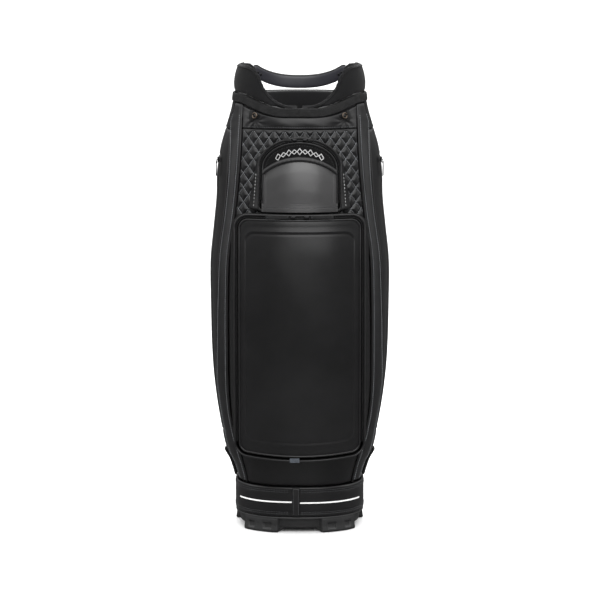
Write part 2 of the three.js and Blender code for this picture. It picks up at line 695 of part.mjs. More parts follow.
function solid(geometry) {
  const bare = geometry.clone();
  bare.deleteAttribute('normal');
  bare.deleteAttribute('uv');
  const merged = mergeVertices(bare, 1e-4);
  const vertProperties = new Float32Array(merged.attributes.position.array);
  const triVerts = new Uint32Array(merged.index.array);
  return new wasm.Manifold(new wasm.Mesh({ numProp: 3, vertProperties, triVerts }));
}

function geometryOf(manifold) {
  const mesh = manifold.getMesh();
  const geometry = new THREE.BufferGeometry();
  geometry.setAttribute('position', new THREE.BufferAttribute(new Float32Array(mesh.vertProperties), 3));
  geometry.setIndex(new THREE.BufferAttribute(new Uint32Array(mesh.triVerts), 1));
  geometry.computeVertexNormals();
  return geometry;
}

function piece(name, geometry, look) {
  const mesh = new THREE.Mesh(geometry, look);
  mesh.name = name;
  bag.add(mesh);
  return mesh;
}

// Moves the whole bag so that the middle of its footprint is the origin.
function centreOnGround() {
  const box = new THREE.Box3().setFromObject(bag);
  bag.position.set(-(box.min.x + box.max.x) / 2, -(box.min.y + box.max.y) / 2, -box.min.z);
  bag.updateMatrixWorld(true);
}
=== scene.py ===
"""A golf staff bag in black leather.

Sizes are in millimetres on the bag's own centre line; metres() places them in the frame."""
import math

import bmesh
import bpy
import numpy as np
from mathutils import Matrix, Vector


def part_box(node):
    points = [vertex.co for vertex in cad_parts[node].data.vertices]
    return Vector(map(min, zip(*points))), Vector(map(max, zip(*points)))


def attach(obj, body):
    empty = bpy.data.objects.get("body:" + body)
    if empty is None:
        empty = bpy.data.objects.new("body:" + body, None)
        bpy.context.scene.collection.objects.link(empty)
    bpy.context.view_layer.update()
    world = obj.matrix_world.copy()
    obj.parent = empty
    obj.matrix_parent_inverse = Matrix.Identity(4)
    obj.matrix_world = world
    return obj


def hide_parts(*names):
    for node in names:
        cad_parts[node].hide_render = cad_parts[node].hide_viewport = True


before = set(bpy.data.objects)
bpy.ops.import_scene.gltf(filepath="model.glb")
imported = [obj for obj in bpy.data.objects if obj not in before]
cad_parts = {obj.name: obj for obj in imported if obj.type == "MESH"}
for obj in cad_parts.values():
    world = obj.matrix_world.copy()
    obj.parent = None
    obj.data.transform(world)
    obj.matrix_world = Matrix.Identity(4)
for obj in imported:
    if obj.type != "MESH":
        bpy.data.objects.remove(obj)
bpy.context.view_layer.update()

MM = 0.001
TUBE_LOW, TUBE_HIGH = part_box("club_tube")
CENTRE_Y = (TUBE_LOW[1] + TUBE_HIGH[1]) / 2  # the body's centre line, in the frame
LEFT_RIGHT = ((-1, "left"), (1, "right"))

# ---- The body's shape, as the CAD makes it ----
SECTION_POWER = 2.4
SKIN = 3


def profile(*pairs):
    """A smooth curve through (position, value) pairs, the one that the CAD uses."""
    ts = np.array([p[0] for p in pairs], float)
    vs = np.array([p[1] for p in pairs], float)

    def value(t):
        t = np.clip(np.asarray(t, float), ts[0], ts[-1])
        i = np.clip(np.searchsorted(ts, t, side="right"), 1, len(ts) - 1)
        t0, t1 = ts[i - 1], ts[i]
        before = np.where(i >= 2, i - 2, i)
        after = np.where(i + 1 < len(ts), i + 1, i - 1)
        half = (t1 - t0) / 2
        wp = half / (t0 - ts[before])
        wn = half / (ts[after] - t1)
        p = (t - t0) / (t1 - t0)
        sp = -wp * p**3 + 2 * wp * p**2 - wp * p
        s0 = (1 + wp) * p**3 + (-1.5 - 2 * wp) * p**2 + (-0.5 + wp) * p + 1
        s1 = (-1 - wn) * p**3 + (1.5 + wn) * p**2 + 0.5 * p
        sn = wn * p**3 - wn * p**2
        return sp * vs[before] + s0 * vs[i - 1] + s1 * vs[i] + sn * vs[after]

    return value


half_width = profile((88, 122), (108, 127.5), (130, 135), (150, 146), (200, 157), (262, 167.5), (330, 174.5),
                     (450, 178), (535, 178), (600, 171.5), (660, 165.5), (710, 164), (760, 156.5), (800, 145),
                     (840, 134), (870, 130))
front_depth = profile((88, 121), (150, 128), (250, 138), (400, 146), (550, 147), (640, 143), (720, 139),
                      (800, 134), (870, 129))
back_depth = profile((88, 121), (300, 125), (600, 128), (800, 127), (870, 123))
rail_inner = profile((88, 103), (100, 105), (130, 112), (165, 122), (190, 129), (250, 139), (390, 142),
                     (465, 141.5), (550, 138.5), (635, 127), (695, 120.5), (760, 116), (850, 112.5))
rail_width = profile((88, 16), (130, 20), (200, 21), (300, 22), (550, 19), (695, 20), (850, 22))
main_depth = profile((150, 171), (250, 186), (400, 192), (550, 188), (640, 178))
upper_depth = profile((640, 172), (716, 166), (760, 157), (790, 149))

BELT_LOW, BELT_HIGH, BELT_X, BELT_Y = 32, 91.6, 128.8, 126.8
BAND_LOW, QUILT_LOW, YOKE_LOW = 800, 626, 795
RIM_FRONT, RIM_SIDE, RIM_BACK, BINDING = 841, 866, 862, 17
DOOR_FRONT, DOOR_REAR, DOOR_LOW, DOOR_HIGH = 78.4, 133, 190, 742
SIDE_ZIP = 77
PANEL_LOW = 92
GAP = 0.4
MAIN = dict(half=127.5, low=158, high=637, corner=28, sag=6, radius=243)
UPPER = dict(half=81.5, low=643, spring=725, high=785.6, radius=150)
WALL, ZIP = 3, 3.4
DOOR_INSET = WALL + ZIP + 3 * GAP


def superellipse(angle, half, front, back, power=SECTION_POWER):
    a = np.radians(angle)
    s, c = np.sin(a), np.cos(a)
    x = half * np.sign(s) * np.abs(s) ** (2 / power)
    y = -np.where(c > 0, front, back) * np.sign(c) * np.abs(c) ** (2 / power)
    return x, y


def oval(angle, z, half_x, half_y, power=SECTION_POWER):
    """A point of an oval round the centre line."""
    x, y = superellipse(angle, half_x, half_y, half_y, power)
    return np.stack(np.broadcast_arrays(x, y, z), -1).astype(float)


def body(angle, z, offset=0):
    """A point of the body's surface, angle degrees round from the front."""
    x, y = superellipse(angle, half_width(z) + offset, front_depth(z) + offset, back_depth(z) + offset)
    return np.stack(np.broadcast_arrays(x, y, z), -1).astype(float)


def angle_of(x, z):
    share = np.clip(np.abs(x) / half_width(z), 0, 1)
    return np.sign(x) * np.degrees(np.arcsin(share ** (SECTION_POWER / 2)))


def front_y(x, z, offset=0):
    return body(angle_of(x, z), z, offset)[..., 1]


def smoothstep(t, low, high):
    t = np.clip((t - low) / (high - low), 0, 1)
    return t * t * (3 - 2 * t)


def round_edge(t):
    """A quarter circle: 0 at 0, rising steeply at first, and 1 from 1 on."""
    return np.sqrt(np.clip(1 - (1 - np.clip(t, 0, 1)) ** 2, 0, 1))


def half_round(t):
    """A half circle: 0 where t is 0 or 1, and 1 in the middle."""
    return np.sqrt(np.clip(1 - (2 * t - 1) ** 2, 0, 1))


def groove(distance, at, width=0.9):
    """1 where the distance is at, fading to 0 on both sides."""
    return np.exp(-(((distance - at) / width) ** 2))


def unit(vectors):
    return vectors / np.linalg.norm(vectors, axis=-1, keepdims=True)


def rim_height(angle):
    turn = np.abs((np.asarray(angle, float) + 180) % 360 - 180)
    front = RIM_FRONT + (RIM_SIDE - RIM_FRONT) * smoothstep(turn, 8, 62)
    return front + (RIM_BACK - RIM_SIDE) * smoothstep(turn, 100, 140)


ear_rise = profile((0, 847), (10, 849), (20, 861), (30, 881), (38, 908), (46, 920), (58, 924), (100, 924),
                   (120, 922), (132, 916), (138, 910))


def rail_outer_angle(z):
    return np.minimum(angle_of(np.minimum(rail_inner(z) + rail_width(z), half_width(z)), z), 71)


def rail_inner_angle(z):
    return angle_of(rail_inner(z), z)


def under_rim(angle):
    return rim_height(angle) - BINDING - GAP


def arc_drop(x, radius):
    return radius - np.sqrt(np.maximum(radius * radius - np.asarray(x, float) ** 2, 1))


def main_face(x, z):
    return -main_depth(z) + arc_drop(x, MAIN["radius"])


def upper_face(x, z):
    return -upper_depth(z) + arc_drop(x, UPPER["radius"])


# ---- Mesh makers ----
def metres(points):
    points = np.asarray(points, float) * MM
    points[..., 1] += CENTRE_Y
    return points


def millimetres(points):
    points = np.array(points, float)
    points[..., 1] -= CENTRE_Y
    return points / MM


def mesh_object(name, points, faces, uvs=None, smooth=True):
    """A mesh object from points in millimetres. uvs is one (u, v) in metres for each point."""
    mesh = bpy.data.meshes.new(name)
    mesh.from_pydata(metres(points).reshape(-1, 3).tolist(), [], [tuple(map(int, f)) for f in faces])
    if uvs is not None:
        layer = mesh.uv_layers.new(name="cloth")
        corners = np.array([loop.vertex_index for loop in mesh.loops])
        layer.data.foreach_set("uv", (np.asarray(uvs, float)[corners] * MM).ravel())
    mesh.validate()
    piece = bpy.data.objects.new(name, mesh)
    bpy.context.scene.collection.objects.link(piece)
    mesh.polygons.foreach_set("use_smooth", [smooth] * len(mesh.polygons))
    return piece


def outward(piece):
    """Turns the faces of a closed mesh outwards."""
    work = bmesh.new()
    work.from_mesh(piece.data)
    bmesh.ops.recalc_face_normals(work, faces=work.faces)
    work.to_mesh(piece.data)
    work.free()
    return piece


def lengths(grid, axis):
    steps = np.linalg.norm(np.diff(grid, axis=axis), axis=-1)
    total = np.cumsum(steps, axis=axis)
    return np.concatenate([np.zeros_like(np.take(total, [0], axis=axis)), total], axis=axis)


def shell(name, outside, inside, wrap=False, uvs=None, discs=False):
    """A closed solid between two grids of points, rows by columns.

    With wrap the columns run right round. With discs the last rows are small rings, each closed by one face."""
    rows, columns = outside.shape[:2]
    ids = np.arange(2 * rows * columns).reshape(2, rows, columns)
    right = np.roll(ids, -1, axis=2)
    last = columns if wrap else columns - 1
    faces = []
    for r in range(rows - 1):
        for c in range(last):
            faces.append((ids[0, r, c], right[0, r, c], right[0, r + 1, c], ids[0, r + 1, c]))
            faces.append((ids[1, r, c], ids[1, r + 1, c], right[1, r + 1, c], right[1, r, c]))
    for c in range(last):
        faces.append((ids[0, 0, c], ids[1, 0, c], right[1, 0, c], right[0, 0, c]))
        if not discs:
            faces.append((ids[0, -1, c], right[0, -1, c], right[1, -1, c], ids[1, -1, c]))
    if discs:
        faces.append(tuple(ids[0, -1]))
        faces.append(tuple(ids[1, -1][::-1]))
    if not wrap:
        for r in range(rows - 1):
            faces.append((ids[0, r, 0], ids[0, r + 1, 0], ids[1, r + 1, 0], ids[1, r, 0]))
            faces.append((ids[0, r, -1], ids[1, r, -1], ids[1, r + 1, -1], ids[0, r + 1, -1]))
    if uvs is None:
        spread = np.stack([lengths(outside, 1), lengths(outside, 0)], -1).reshape(-1, 2)
        uvs = np.concatenate([spread] * 2)
    return outward(mesh_object(name, np.stack([outside, inside]), faces, uvs))


def ring_faces(count, sides, closed=False):
    """The faces between rings of points, with a cap at each end unless the last ring meets the first."""
    ids = np.arange(count * sides).reshape(count, sides)
    around = np.roll(ids, -1, axis=1)
    faces = []
    for i in range(count if closed else count - 1):
        j = (i + 1) % count
        for k in range(sides):
            faces.append((ids[i, k], around[i, k], around[j, k], ids[j, k]))
    if not closed:
        faces.append(tuple(ids[0][::-1]))
        faces.append(tuple(ids[-1]))
    return faces


def ringed(name, rings, uvs=None):
    """A closed solid from rings of points."""
    rings = np.asarray(rings)
    return outward(mesh_object(name, rings, ring_faces(*rings.shape[:2]), uvs))


def tube(name, path, radius, sides=8, closed=False, flat=1.0, out=(0.0, -1.0, 0.0)):
    """A round or oval cord along points. out is the direction in which flat squeezes it."""
    path = np.asarray(path, float)
    count = len(path)
    along = unit(np.roll(path, -1, 0) - np.roll(path, 1, 0) if closed else np.gradient(path, axis=0))
    side = np.cross(along, np.broadcast_to(out, path.shape))
    weak = np.linalg.norm(side, axis=1) < 1e-3
    side[weak] = np.cross(along[weak], [1.0, 0.0, 0.0])
    side = unit(side)
    lift = np.cross(side, along)
    turn = np.linspace(0, 2 * math.pi, sides, endpoint=False)
    radius = np.broadcast_to(np.asarray(radius, float), (count,))
    ring = side[:, None] * np.cos(turn)[None, :, None] + lift[:, None] * flat * np.sin(turn)[None, :, None]
    points = path[:, None] + ring * radius[:, None, None]
    far = distance_along(path)
    uvs = np.stack(np.broadcast_arrays(far[:, None], turn[None] * radius[:, None]), -1).reshape(-1, 2)
    return outward(mesh_object(name, points, ring_faces(count, sides, closed), uvs))


def distance_along(path):
    return np.concatenate([[0], np.cumsum(np.linalg.norm(np.diff(path, axis=0), axis=1))])


def interpolate(at, far, values):
    return np.stack([np.interp(at, far, values[:, k]) for k in range(3)], 1)


def resample_to(path, count):
    """count points evenly spaced along a polyline."""
    far = distance_along(path)
    return interpolate(np.linspace(0, far[-1], count), far, np.asarray(path, float))


def stitches(name, rows, pitch=5.0, length=3.4, radius=0.42, lift=0.35):
    """Thread stitches along rows. Each row is (points, outward normals), or one normal for all its points."""
    sides, rings = 6, 5
    turn = np.linspace(0, 2 * math.pi, sides, endpoint=False)
    one = ring_faces(rings, sides)
    points, faces = [], []
    for path, normals in rows:
        far = distance_along(path)
        at = np.linspace(0, far[-1], max(2, int(round(far[-1] / pitch)) + 1))
        spots = interpolate(at, far, path)
        ups = interpolate(at, far, np.broadcast_to(normals, path.shape))
        along = unit(spots[1:] - spots[:-1])
        up = unit(ups[1:] + ups[:-1])
        side = np.cross(along, up)
        for m, a, u, s in zip((spots[1:] + spots[:-1]) / 2, along, up, side):
            start = len(points)
            for t in np.linspace(-1, 1, rings):
                fat = radius * math.sqrt(max(1 - 0.82 * t * t, 0.1))
                centre = m + a * t * length / 2 + u * (lift * (1 - 0.9 * t * t) - 0.05)
                for w in turn:
                    points.append(centre + (s * math.cos(w) + u * math.sin(w)) * fat)
            faces += [[start + i for i in face] for face in one]
    return mesh_object(name, np.array(points), faces)


def dress(piece, look, rider="root", replaces=()):
    """Gives a piece its material and the body that it rides on."""
    piece.data.materials.clear()
    piece.data.materials.append(look)
    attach(piece, rider)
    if replaces:
        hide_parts(*replaces)
    return piece


def sew(name, rows, thread, slot, rider="root", **stitch):
    return dress(stitches(name, rows, **stitch), thread, rider)


def grid(columns, rows):
    return np.meshgrid(np.linspace(0, 1, columns + 1), np.linspace(0, 1, rows + 1))


def edge_roll(across, up, reach):
    """1 inside a panel, falling to 0 over the last reach millimetres before its edges."""
    return round_edge(np.minimum(across, up) / reach)


def distances(points):
    """For a grid of points, how far each is from the nearer side edge and from the nearer end."""
    across = lengths(points, 1)
    up = lengths(points, 0)
    return np.minimum(across, across[:, -1:] - across), np.minimum(up, up[-1:, :] - up)


def panel(name, angle_at, low, high, columns, rows, puff=0.0, roll=5.0, sink=1.6, top=0.0, relief=None):
    """A sewn panel of the body's skin.

    puff swells its middle, its edges roll in by sink, and high may be a function of the angle."""
    u, v = grid(columns, rows)
    reach = high(angle_at(u, np.full_like(u, 600.0))) if callable(high) else high
    zs = low + v * (reach - low)
    angles = angle_at(u, zs)
    across, up = distances(body(angles, zs))
    offset = top - sink + sink * edge_roll(across, up, roll)
    offset = offset + puff * np.sin(math.pi * u) * np.sin(math.pi * v)
    if relief is not None:
        offset = offset + relief(angles, zs, across, up)
    return shell(name, body(angles, zs, offset), body(angles, zs, -SKIN))


def body_normals(angles, zs):
    step = 0.4
    a = body(angles + step, zs) - body(angles - step, zs)
    b = body(angles, zs + 2) - body(angles, zs - 2)
    return unit(np.cross(a, b))


def body_row(angles, zs, offset):
    """A row on the body, as stitches take it: points and outward normals."""
    angles, zs = np.broadcast_arrays(angles, zs)
    return body(angles, zs, offset), body_normals(angles, zs)


# ---- Materials ----
def new_material(name, color, roughness, metallic=0.0, specular=0.5, sheen=0.0):
    material = bpy.data.materials.new(name)
    material.use_nodes = True
    nodes, links = material.node_tree.nodes, material.node_tree.links
    shader = nodes["Principled BSDF"]
    shader.inputs["Base Color"].default_value = (*color, 1)
    shader.inputs["Roughness"].default_value = roughness
    shader.inputs["Metallic"].default_value = metallic
    shader.inputs["Specular IOR Level"].default_value = specular
    shader.inputs["Sheen Weight"].default_value = sheen
    shader.inputs["Sheen Roughness"].default_value = 0.5
    return material, nodes, links, shader


def node(nodes, kind, **values):
    made = nodes.new(kind)
    for key, value in values.items():
        if key in made.inputs:
            made.inputs[key].default_value = value
        else:
            setattr(made, key, value)
    return made


def place(nodes, kind):
    """Where a pattern is read: the cloth's own UV in metres, or with Object the place in space."""
    return nodes.new("ShaderNodeTexCoord").outputs[kind]


def noise(nodes, links, where, **values):
    made = node(nodes, "ShaderNodeTexNoise", **values)
    links.new(where, made.inputs["Vector"])
    return made


def vary(nodes, links, shader, color, amount, scale, where, rough, rough_amount):
    """Soft changes of colour and roughness, as handled and rubbed material has."""
    patches = noise(nodes, links, where, Scale=scale, Detail=5.0, Roughness=0.6).outputs["Fac"]
    ramp = nodes.new("ShaderNodeValToRGB")
    for element, position, share in zip(ramp.color_ramp.elements, (0.3, 0.75), (1 - amount, 1 + amount)):
        element.position = position
        element.color = (*[min(c * share, 1) for c in color], 1)
    links.new(patches, ramp.inputs["Fac"])
    links.new(ramp.outputs["Color"], shader.inputs["Base Color"])
    spread = nodes.new("ShaderNodeMapRange")
    spread.inputs["To Min"].default_value = rough - rough_amount
    spread.inputs["To Max"].default_value = rough + rough_amount
    links.new(patches, spread.inputs["Value"])
    links.new(spread.outputs["Result"], shader.inputs["Roughness"])
    return ramp


def bump(nodes, links, shader, height, strength, distance, before=None):
    made = node(nodes, "ShaderNodeBump", Strength=strength, Distance=distance)
    links.new(height, made.inputs["Height"])
    if before is not None:
        links.new(before.outputs["Normal"], made.inputs["Normal"])
    links.new(made.outputs["Normal"], shader.inputs["Normal"])
    return made


def leather(name, color, rough, grain=0.0012, depth=0.00012, specular=0.4):
    """Pebbled leather: grain is the size of a pebble in metres."""
    material, nodes, links, shader = new_material(name, color, rough, specular=specular)
    where = place(nodes, "Object")
    vary(nodes, links, shader, color, 0.18, 14.0, where, rough, 0.05)
    cells = node(nodes, "ShaderNodeTexVoronoi", feature="SMOOTH_F1", Scale=1 / grain)
    warp = noise(nodes, links, where, Scale=0.5 / grain, Detail=2.0)
    mix = nodes.new("ShaderNodeMix")
    mix.data_type = "VECTOR"
    mix.inputs["Factor"].default_value = 0.0015
    links.new(where, mix.inputs[4])
    links.new(warp.outputs["Color"], mix.inputs[5])
    links.new(mix.outputs[1], cells.inputs["Vector"])
    first = bump(nodes, links, shader, cells.outputs["Distance"], 0.55, depth)
    fine = noise(nodes, links, where, Scale=9.0, Detail=4.0, Roughness=0.55)
    bump(nodes, links, shader, fine.outputs["Fac"], 0.25, 0.0022, first)
    return material


def woven(name, color, rough, thread=0.0016, depth=0.0004):
    """A weave of crossing threads, read from the cloth's UV, with painted shade darkening the low places
    between the threads.
    """
    material, nodes, links, shader = new_material(name, color, rough, specular=0.2)
    where = place(nodes, "UV")
    ramp = vary(nodes, links, shader, color, 0.35, 60.0, where, rough, 0.04)
    weave = nodes.new("ShaderNodeMath")
    weave.operation = "MULTIPLY"
    for k, direction in enumerate(("X", "Y")):
        wave = node(nodes, "ShaderNodeTexWave", bands_direction=direction, Scale=0.314 / thread, Distortion=0.4)
        wave.inputs["Detail"].default_value = 1.0
        links.new(where, wave.inputs["Vector"])
        links.new(wave.outputs["Fac"], weave.inputs[k])
    # Painted shade: the base colour is darkened where the weave is low, between the threads, by the same
    # pattern that drives the bump.
    dark = nodes.new("ShaderNodeMix")
    dark.data_type = "RGBA"
    dark.blend_type = "MULTIPLY"
    dark.inputs["Factor"].default_value = 0.6
    links.new(ramp.outputs["Color"], dark.inputs[6])
    links.new(weave.outputs[0], dark.inputs[7])
    links.new(dark.outputs[2], shader.inputs["Base Color"])
    bump(nodes, links, shader, weave.outputs[0], 0.8, depth)
    return material


def plush(name, color, rough, scale=900.0, depth=0.0003, sheen=0.3):
    """Brushed cloth with a fine fibre grain, read from its place."""
    material, nodes, links, shader = new_material(name, color, rough, specular=0.25, sheen=sheen)
    where = place(nodes, "Object")
    vary(nodes, links, shader, color, 0.25, 25.0, where, rough, 0.05)
    grain = noise(nodes, links, where, Scale=scale, Detail=3.0)
    bump(nodes, links, shader, grain.outputs["Fac"], 0.6, depth)
    return material


def moulded(name, color, rough, depth=0.00008, metallic=0.0, amount=0.12):
    """Moulded plastic or cast metal with a fine spark finish."""
    material, nodes, links, shader = new_material(name, color, rough, metallic)
    where = place(nodes, "Object")
    vary(nodes, links, shader, color, amount, 30.0, where, rough, 0.06)
    grain = noise(nodes, links, where, Scale=1400.0, Detail=2.0)
    bump(nodes, links, shader, grain.outputs["Fac"], 0.4, depth)
    return material


LEATHER = leather("pebbled_leather", (0.006, 0.0059, 0.0063), 0.32)
SMOOTH = leather("smooth_leather", (0.0075, 0.0073, 0.0078), 0.33, grain=0.0018, depth=0.00006)
QUILT = leather("quilted_leather", (0.0055, 0.0055, 0.006), 0.38, grain=0.001)
RAIL = leather("rail_leather", (0.006, 0.006, 0.0066), 0.37, grain=0.0011)
WEB = woven("webbing", (0.02, 0.02, 0.0205), 0.72, thread=0.0026, depth=0.0008)
KNIT = woven("knitted_mesh", (0.008, 0.008, 0.0085), 0.85, thread=0.0026, depth=0.0007)
ZIP_TAPE = woven("zip_tape", (0.007, 0.007, 0.0075), 0.75, thread=0.0012, depth=0.0003)
NEOPRENE = plush("neoprene", (0.003, 0.003, 0.0035), 0.85, scale=1500.0, depth=0.00015, sheen=0.03)
PLUSH = plush("divider_plush", (0.007, 0.007, 0.0078), 0.9, scale=700.0, depth=0.0005, sheen=0.25)
PLASTIC = moulded("moulded_plastic", (0.014, 0.014, 0.0145), 0.5)
SATIN = moulded("satin_plastic", (0.034, 0.034, 0.042), 0.34, depth=0.00004)
RUBBER = moulded("dark_rubber", (0.006, 0.006, 0.006), 0.6)
TEETH = moulded("zip_teeth", (0.01, 0.01, 0.0105), 0.35)
BLACK_METAL = moulded("black_metal", (0.02, 0.02, 0.021), 0.3, metallic=0.7)
BRASS = moulded("antique_brass", (0.13, 0.105, 0.085), 0.34, metallic=1.0, amount=0.35, depth=0.0002)
NICKEL = moulded("dark_nickel", (0.05, 0.049, 0.048), 0.34, metallic=1.0, amount=0.3)
WHITE = leather("white_leather", (0.8, 0.8, 0.79), 0.5, grain=0.0009, depth=0.00006)
GREY_THREAD = plush("grey_thread", (0.06, 0.062, 0.066), 0.6, scale=1800.0, sheen=0.1)
SILVER_THREAD = plush("silver_thread", (0.2, 0.208, 0.22), 0.6, scale=1800.0, sheen=0.1)
PALE_THREAD = plush("pale_thread", (0.42, 0.42, 0.42), 0.6, scale=1800.0, sheen=0.1)
BLACK_THREAD = plush("black_thread", (0.015, 0.015, 0.016), 0.6, scale=1800.0, sheen=0.1)
GLOSS = leather("gloss_leather", (0.03, 0.0295, 0.0302), 0.33, grain=0.0022, depth=0.00004, specular=0.75)
MATT = woven("matt_ground", (0.005, 0.005, 0.0053), 0.9, thread=0.0012, depth=0.0002)
TAG = woven("grey_tag", (0.12, 0.135, 0.16), 0.7, thread=0.001)
FOAM = plush("foam", (0.03, 0.03, 0.031), 0.9, scale=500.0)


# ---- Studio ----
def flat_card(name, corners, material, light_only=True):
    """A flat four-cornered card. With light_only it is seen in reflections alone."""
    mesh = bpy.data.meshes.new(name)
    mesh.from_pydata(corners, [], [(0, 1, 2, 3)])
    mesh.materials.append(material)
    card = bpy.data.objects.new(name, mesh)
    bpy.context.scene.collection.objects.link(card)
    if light_only:
        card.visible_camera = False
        card.visible_shadow = False
        card.visible_diffuse = False
    return card


def sky():
    """A white sky that is dim at the horizon and bright overhead."""
    dim, bright, rise_power = 0.16, 3.0, 1.6
    world = bpy.data.worlds.new("studio_sky")
    world.use_nodes = True
    bpy.context.scene.world = world
    nodes, links = world.node_tree.nodes, world.node_tree.links
    split = nodes.new("ShaderNodeSeparateXYZ")
    links.new(nodes.new("ShaderNodeTexCoord").outputs["Generated"], split.inputs[0])
    rise = nodes.new("ShaderNodeMath")
    rise.operation = "POWER"
    rise.use_clamp = True
    rise.inputs[1].default_value = rise_power
    links.new(split.outputs["Z"], rise.inputs[0])
    ramp = nodes.new("ShaderNodeMapRange")
    ramp.inputs["To Min"].default_value = dim
    ramp.inputs["To Max"].default_value = bright
    links.new(rise.outputs[0], ramp.inputs["Value"])
    links.new(ramp.outputs["Result"], nodes["Background"].inputs["Strength"])
    nodes["Background"].inputs["Color"].default_value = (1, 1, 1, 1)


def studio():
    """A pale floor, dark cards and a faint one in front, the sky, four lights and the camera."""
    paint = new_material("studio_floor", (0.93, 0.93, 0.93), 0.9, specular=0.0)[0]
    reach = 60.0
    corners = [(-reach, -reach, 0), (reach, -reach, 0), (reach, reach, 0), (-reach, reach, 0)]
    ground = flat_card("floor", corners, paint, light_only=False)
    ground.location.z = -0.0005
    ground.visible_glossy = False
    dark = new_material("studio_card", (0.004, 0.004, 0.004), 1.0, specular=0.0)[0]
    flat_card("floor_card", [(-4, -9, 0.002), (4, -9, 0.002), (2.2, -0.75, 0.002), (-2.2, -0.75, 0.002)], dark)
    flat_card("front_card", [(-2.6, -4.2, 0.0), (2.6, -4.2, 0.0), (2.6, -4.2, 1.35), (-2.6, -4.2, 1.35)], dark)
    faint, _, _, shader = new_material("studio_bounce", (0, 0, 0), 0.5)
    shader.inputs["Emission Color"].default_value = (1, 1, 1, 1)
    shader.inputs["Emission Strength"].default_value = 0.12
    corners = [(-0.8, -1.5, 0.004), (0.8, -1.5, 0.004), (0.8, -0.34, 0.004), (-0.8, -0.34, 0.004)]
    flat_card("bounce_card", corners, faint)
    sky()

    aim = Vector((0, 0, 0.5))
    for azimuth, elevation, distance, width, height, watts in (
        (6, 25, 4.0, 3.2, 2.7, 72),
        (-88, 14, 2.6, 0.5, 2.2, 8),
        (88, 14, 2.6, 0.5, 2.2, 8),
        (180, 40, 3.2, 2.0, 1.2, 40),
    ):
        a, e = math.radians(azimuth), math.radians(elevation)
        towards = Vector((math.sin(a) * math.cos(e), -math.cos(a) * math.cos(e), math.sin(e)))
        data = bpy.data.lights.new("strip", "AREA")
        data.shape = "RECTANGLE"
        data.size, data.size_y, data.energy = width, height, watts
        light = bpy.data.objects.new("strip", data)
        light.location = aim + towards * distance
        light.rotation_euler = towards.to_track_quat("Z", "Y").to_euler()
        bpy.context.scene.collection.objects.link(light)

    lens, distance, elevation = 186.0, 6.2, math.radians(7.6)
    data = bpy.data.cameras.new("camera")
    data.lens = lens
    data.clip_end = 80
    camera = bpy.data.objects.new("camera", data)
    back = Vector((0, -math.cos(elevation), math.sin(elevation)))
    camera.location = Vector((0.0006, 0, 0.449)) + back * distance
    camera.rotation_euler = back.to_track_quat("Z", "Y").to_euler()
    bpy.context.scene.collection.objects.link(camera)
    bpy.context.scene.camera = camera
    bpy.context.scene.view_settings.view_transform = "Standard"


studio()


# ---- Base ----
FOOT_SPANS = ((15, 57), (303, 345), (98, 128), (232, 262), (160, 200))
WINDOWS = (26, 45, -26, -45)
TRAY_X, TRAY_Y, TRAY_RECESS = 128, 126, 7


def foot_share(angles):
    """1 over a foot and 0 between feet, with sloping ends."""
    share = np.zeros_like(angles)
    for low, high in FOOT_SPANS:
        middle, half = (low + high) / 2, (high - low) / 2
        off = np.abs((angles - middle + 180) % 360 - 180)
        share = np.maximum(share, 1 - smoothstep(off, half - 1.6, half + 0.6))
    return share


def window_depth(angles, zs):
    """The two trapezoid recesses in each front foot."""
    depth = np.zeros_like(angles)
    for middle in WINDOWS:
        off = (angles - middle + 180) % 360 - 180
        lean = (zs - 13) * 0.07 * np.sign(middle)
        across = 1 - smoothstep(np.abs(off - lean * 0.4), 3.4 + (zs - 7) * 0.06, 4.2 + (zs - 7) * 0.06)
        depth = np.maximum(depth, across * smoothstep(zs, 6.2, 7.2) * (1 - smoothstep(zs, 17.6, 19.2)))
    return depth * 3.6


def base_tray():
    """The moulded tray: feet with windows, a rolled shoulder, and a wall that goes up inside the belt."""
    angles = np.linspace(0, 360, 900, endpoint=False)
    share = foot_share(angles)
    low = 8 - 8 * share
    outer = []
    for v in (0.0, 0.03, 0.07, 0.12, 0.2, 0.24, 0.28, 0.36, 0.44, 0.52, 0.6, 0.66, 0.72, 0.78, 0.86, 0.94, 1.0):
        z = low + v * (26 - low)
        round_in = 2.4 * (1 - min(v / 0.12, 1)) ** 2
        flare = (0.5 + 1.9 * np.clip(1 - z / 13, 0, 1)) * share
        slope = (2.0 - 2.0 * v) * (1 - share)
        inset = round_in - flare + TRAY_RECESS * (1 - share) + slope + window_depth(angles, z)
        outer.append(oval(angles, z, TRAY_X - inset, TRAY_Y - inset))
    shoulder = ((27.6, 0.2), (28.2, 0), (30.4, 0.1), (31.3, 1.2), (31.5, 5), (31.6, 6.2), (60, 6.2), (86, 6.2))
    for z, inset in shoulder:
        outer.append(oval(angles, z, TRAY_X - inset, TRAY_Y - inset))
    inner = []
    for k, ring in enumerate(outer):
        inset = (34, 34, 22, 10)[min(k, 3)]
        z = low + 0.2 if k == 0 else np.maximum(14.2, ring[:, 2])
        inner.append(oval(angles, np.maximum(z, low), TRAY_X - inset, TRAY_Y - inset))
    piece = shell("base_tray_shell", np.array(outer), np.array(inner), wrap=True)
    dress(piece, PLASTIC, replaces=["base_tray"])
    bottom = np.array([oval(angles[::4], 8.2, 95 * share, 93 * share) for share in (1.0, 0.6, 0.2, 0.001)])
    top = bottom + np.array([0, 0, 5.7])
    dress(shell("base_tray_floor", top, bottom, wrap=True), PLASTIC)


def belt_angle(x):
    return np.degrees(np.sign(x) * np.arcsin((np.abs(x) / BELT_X) ** (SECTION_POWER / 2)))


def belt_point(angle, z, offset=0.0):
    return oval(angle, z, BELT_X + offset, BELT_Y + offset)


def belt_row(angles, z, offset):
    """A row on the belt: points and outward normals."""
    points = belt_point(angles, z, offset)
    return points, unit(belt_point(angles, z, offset + 10) - points)


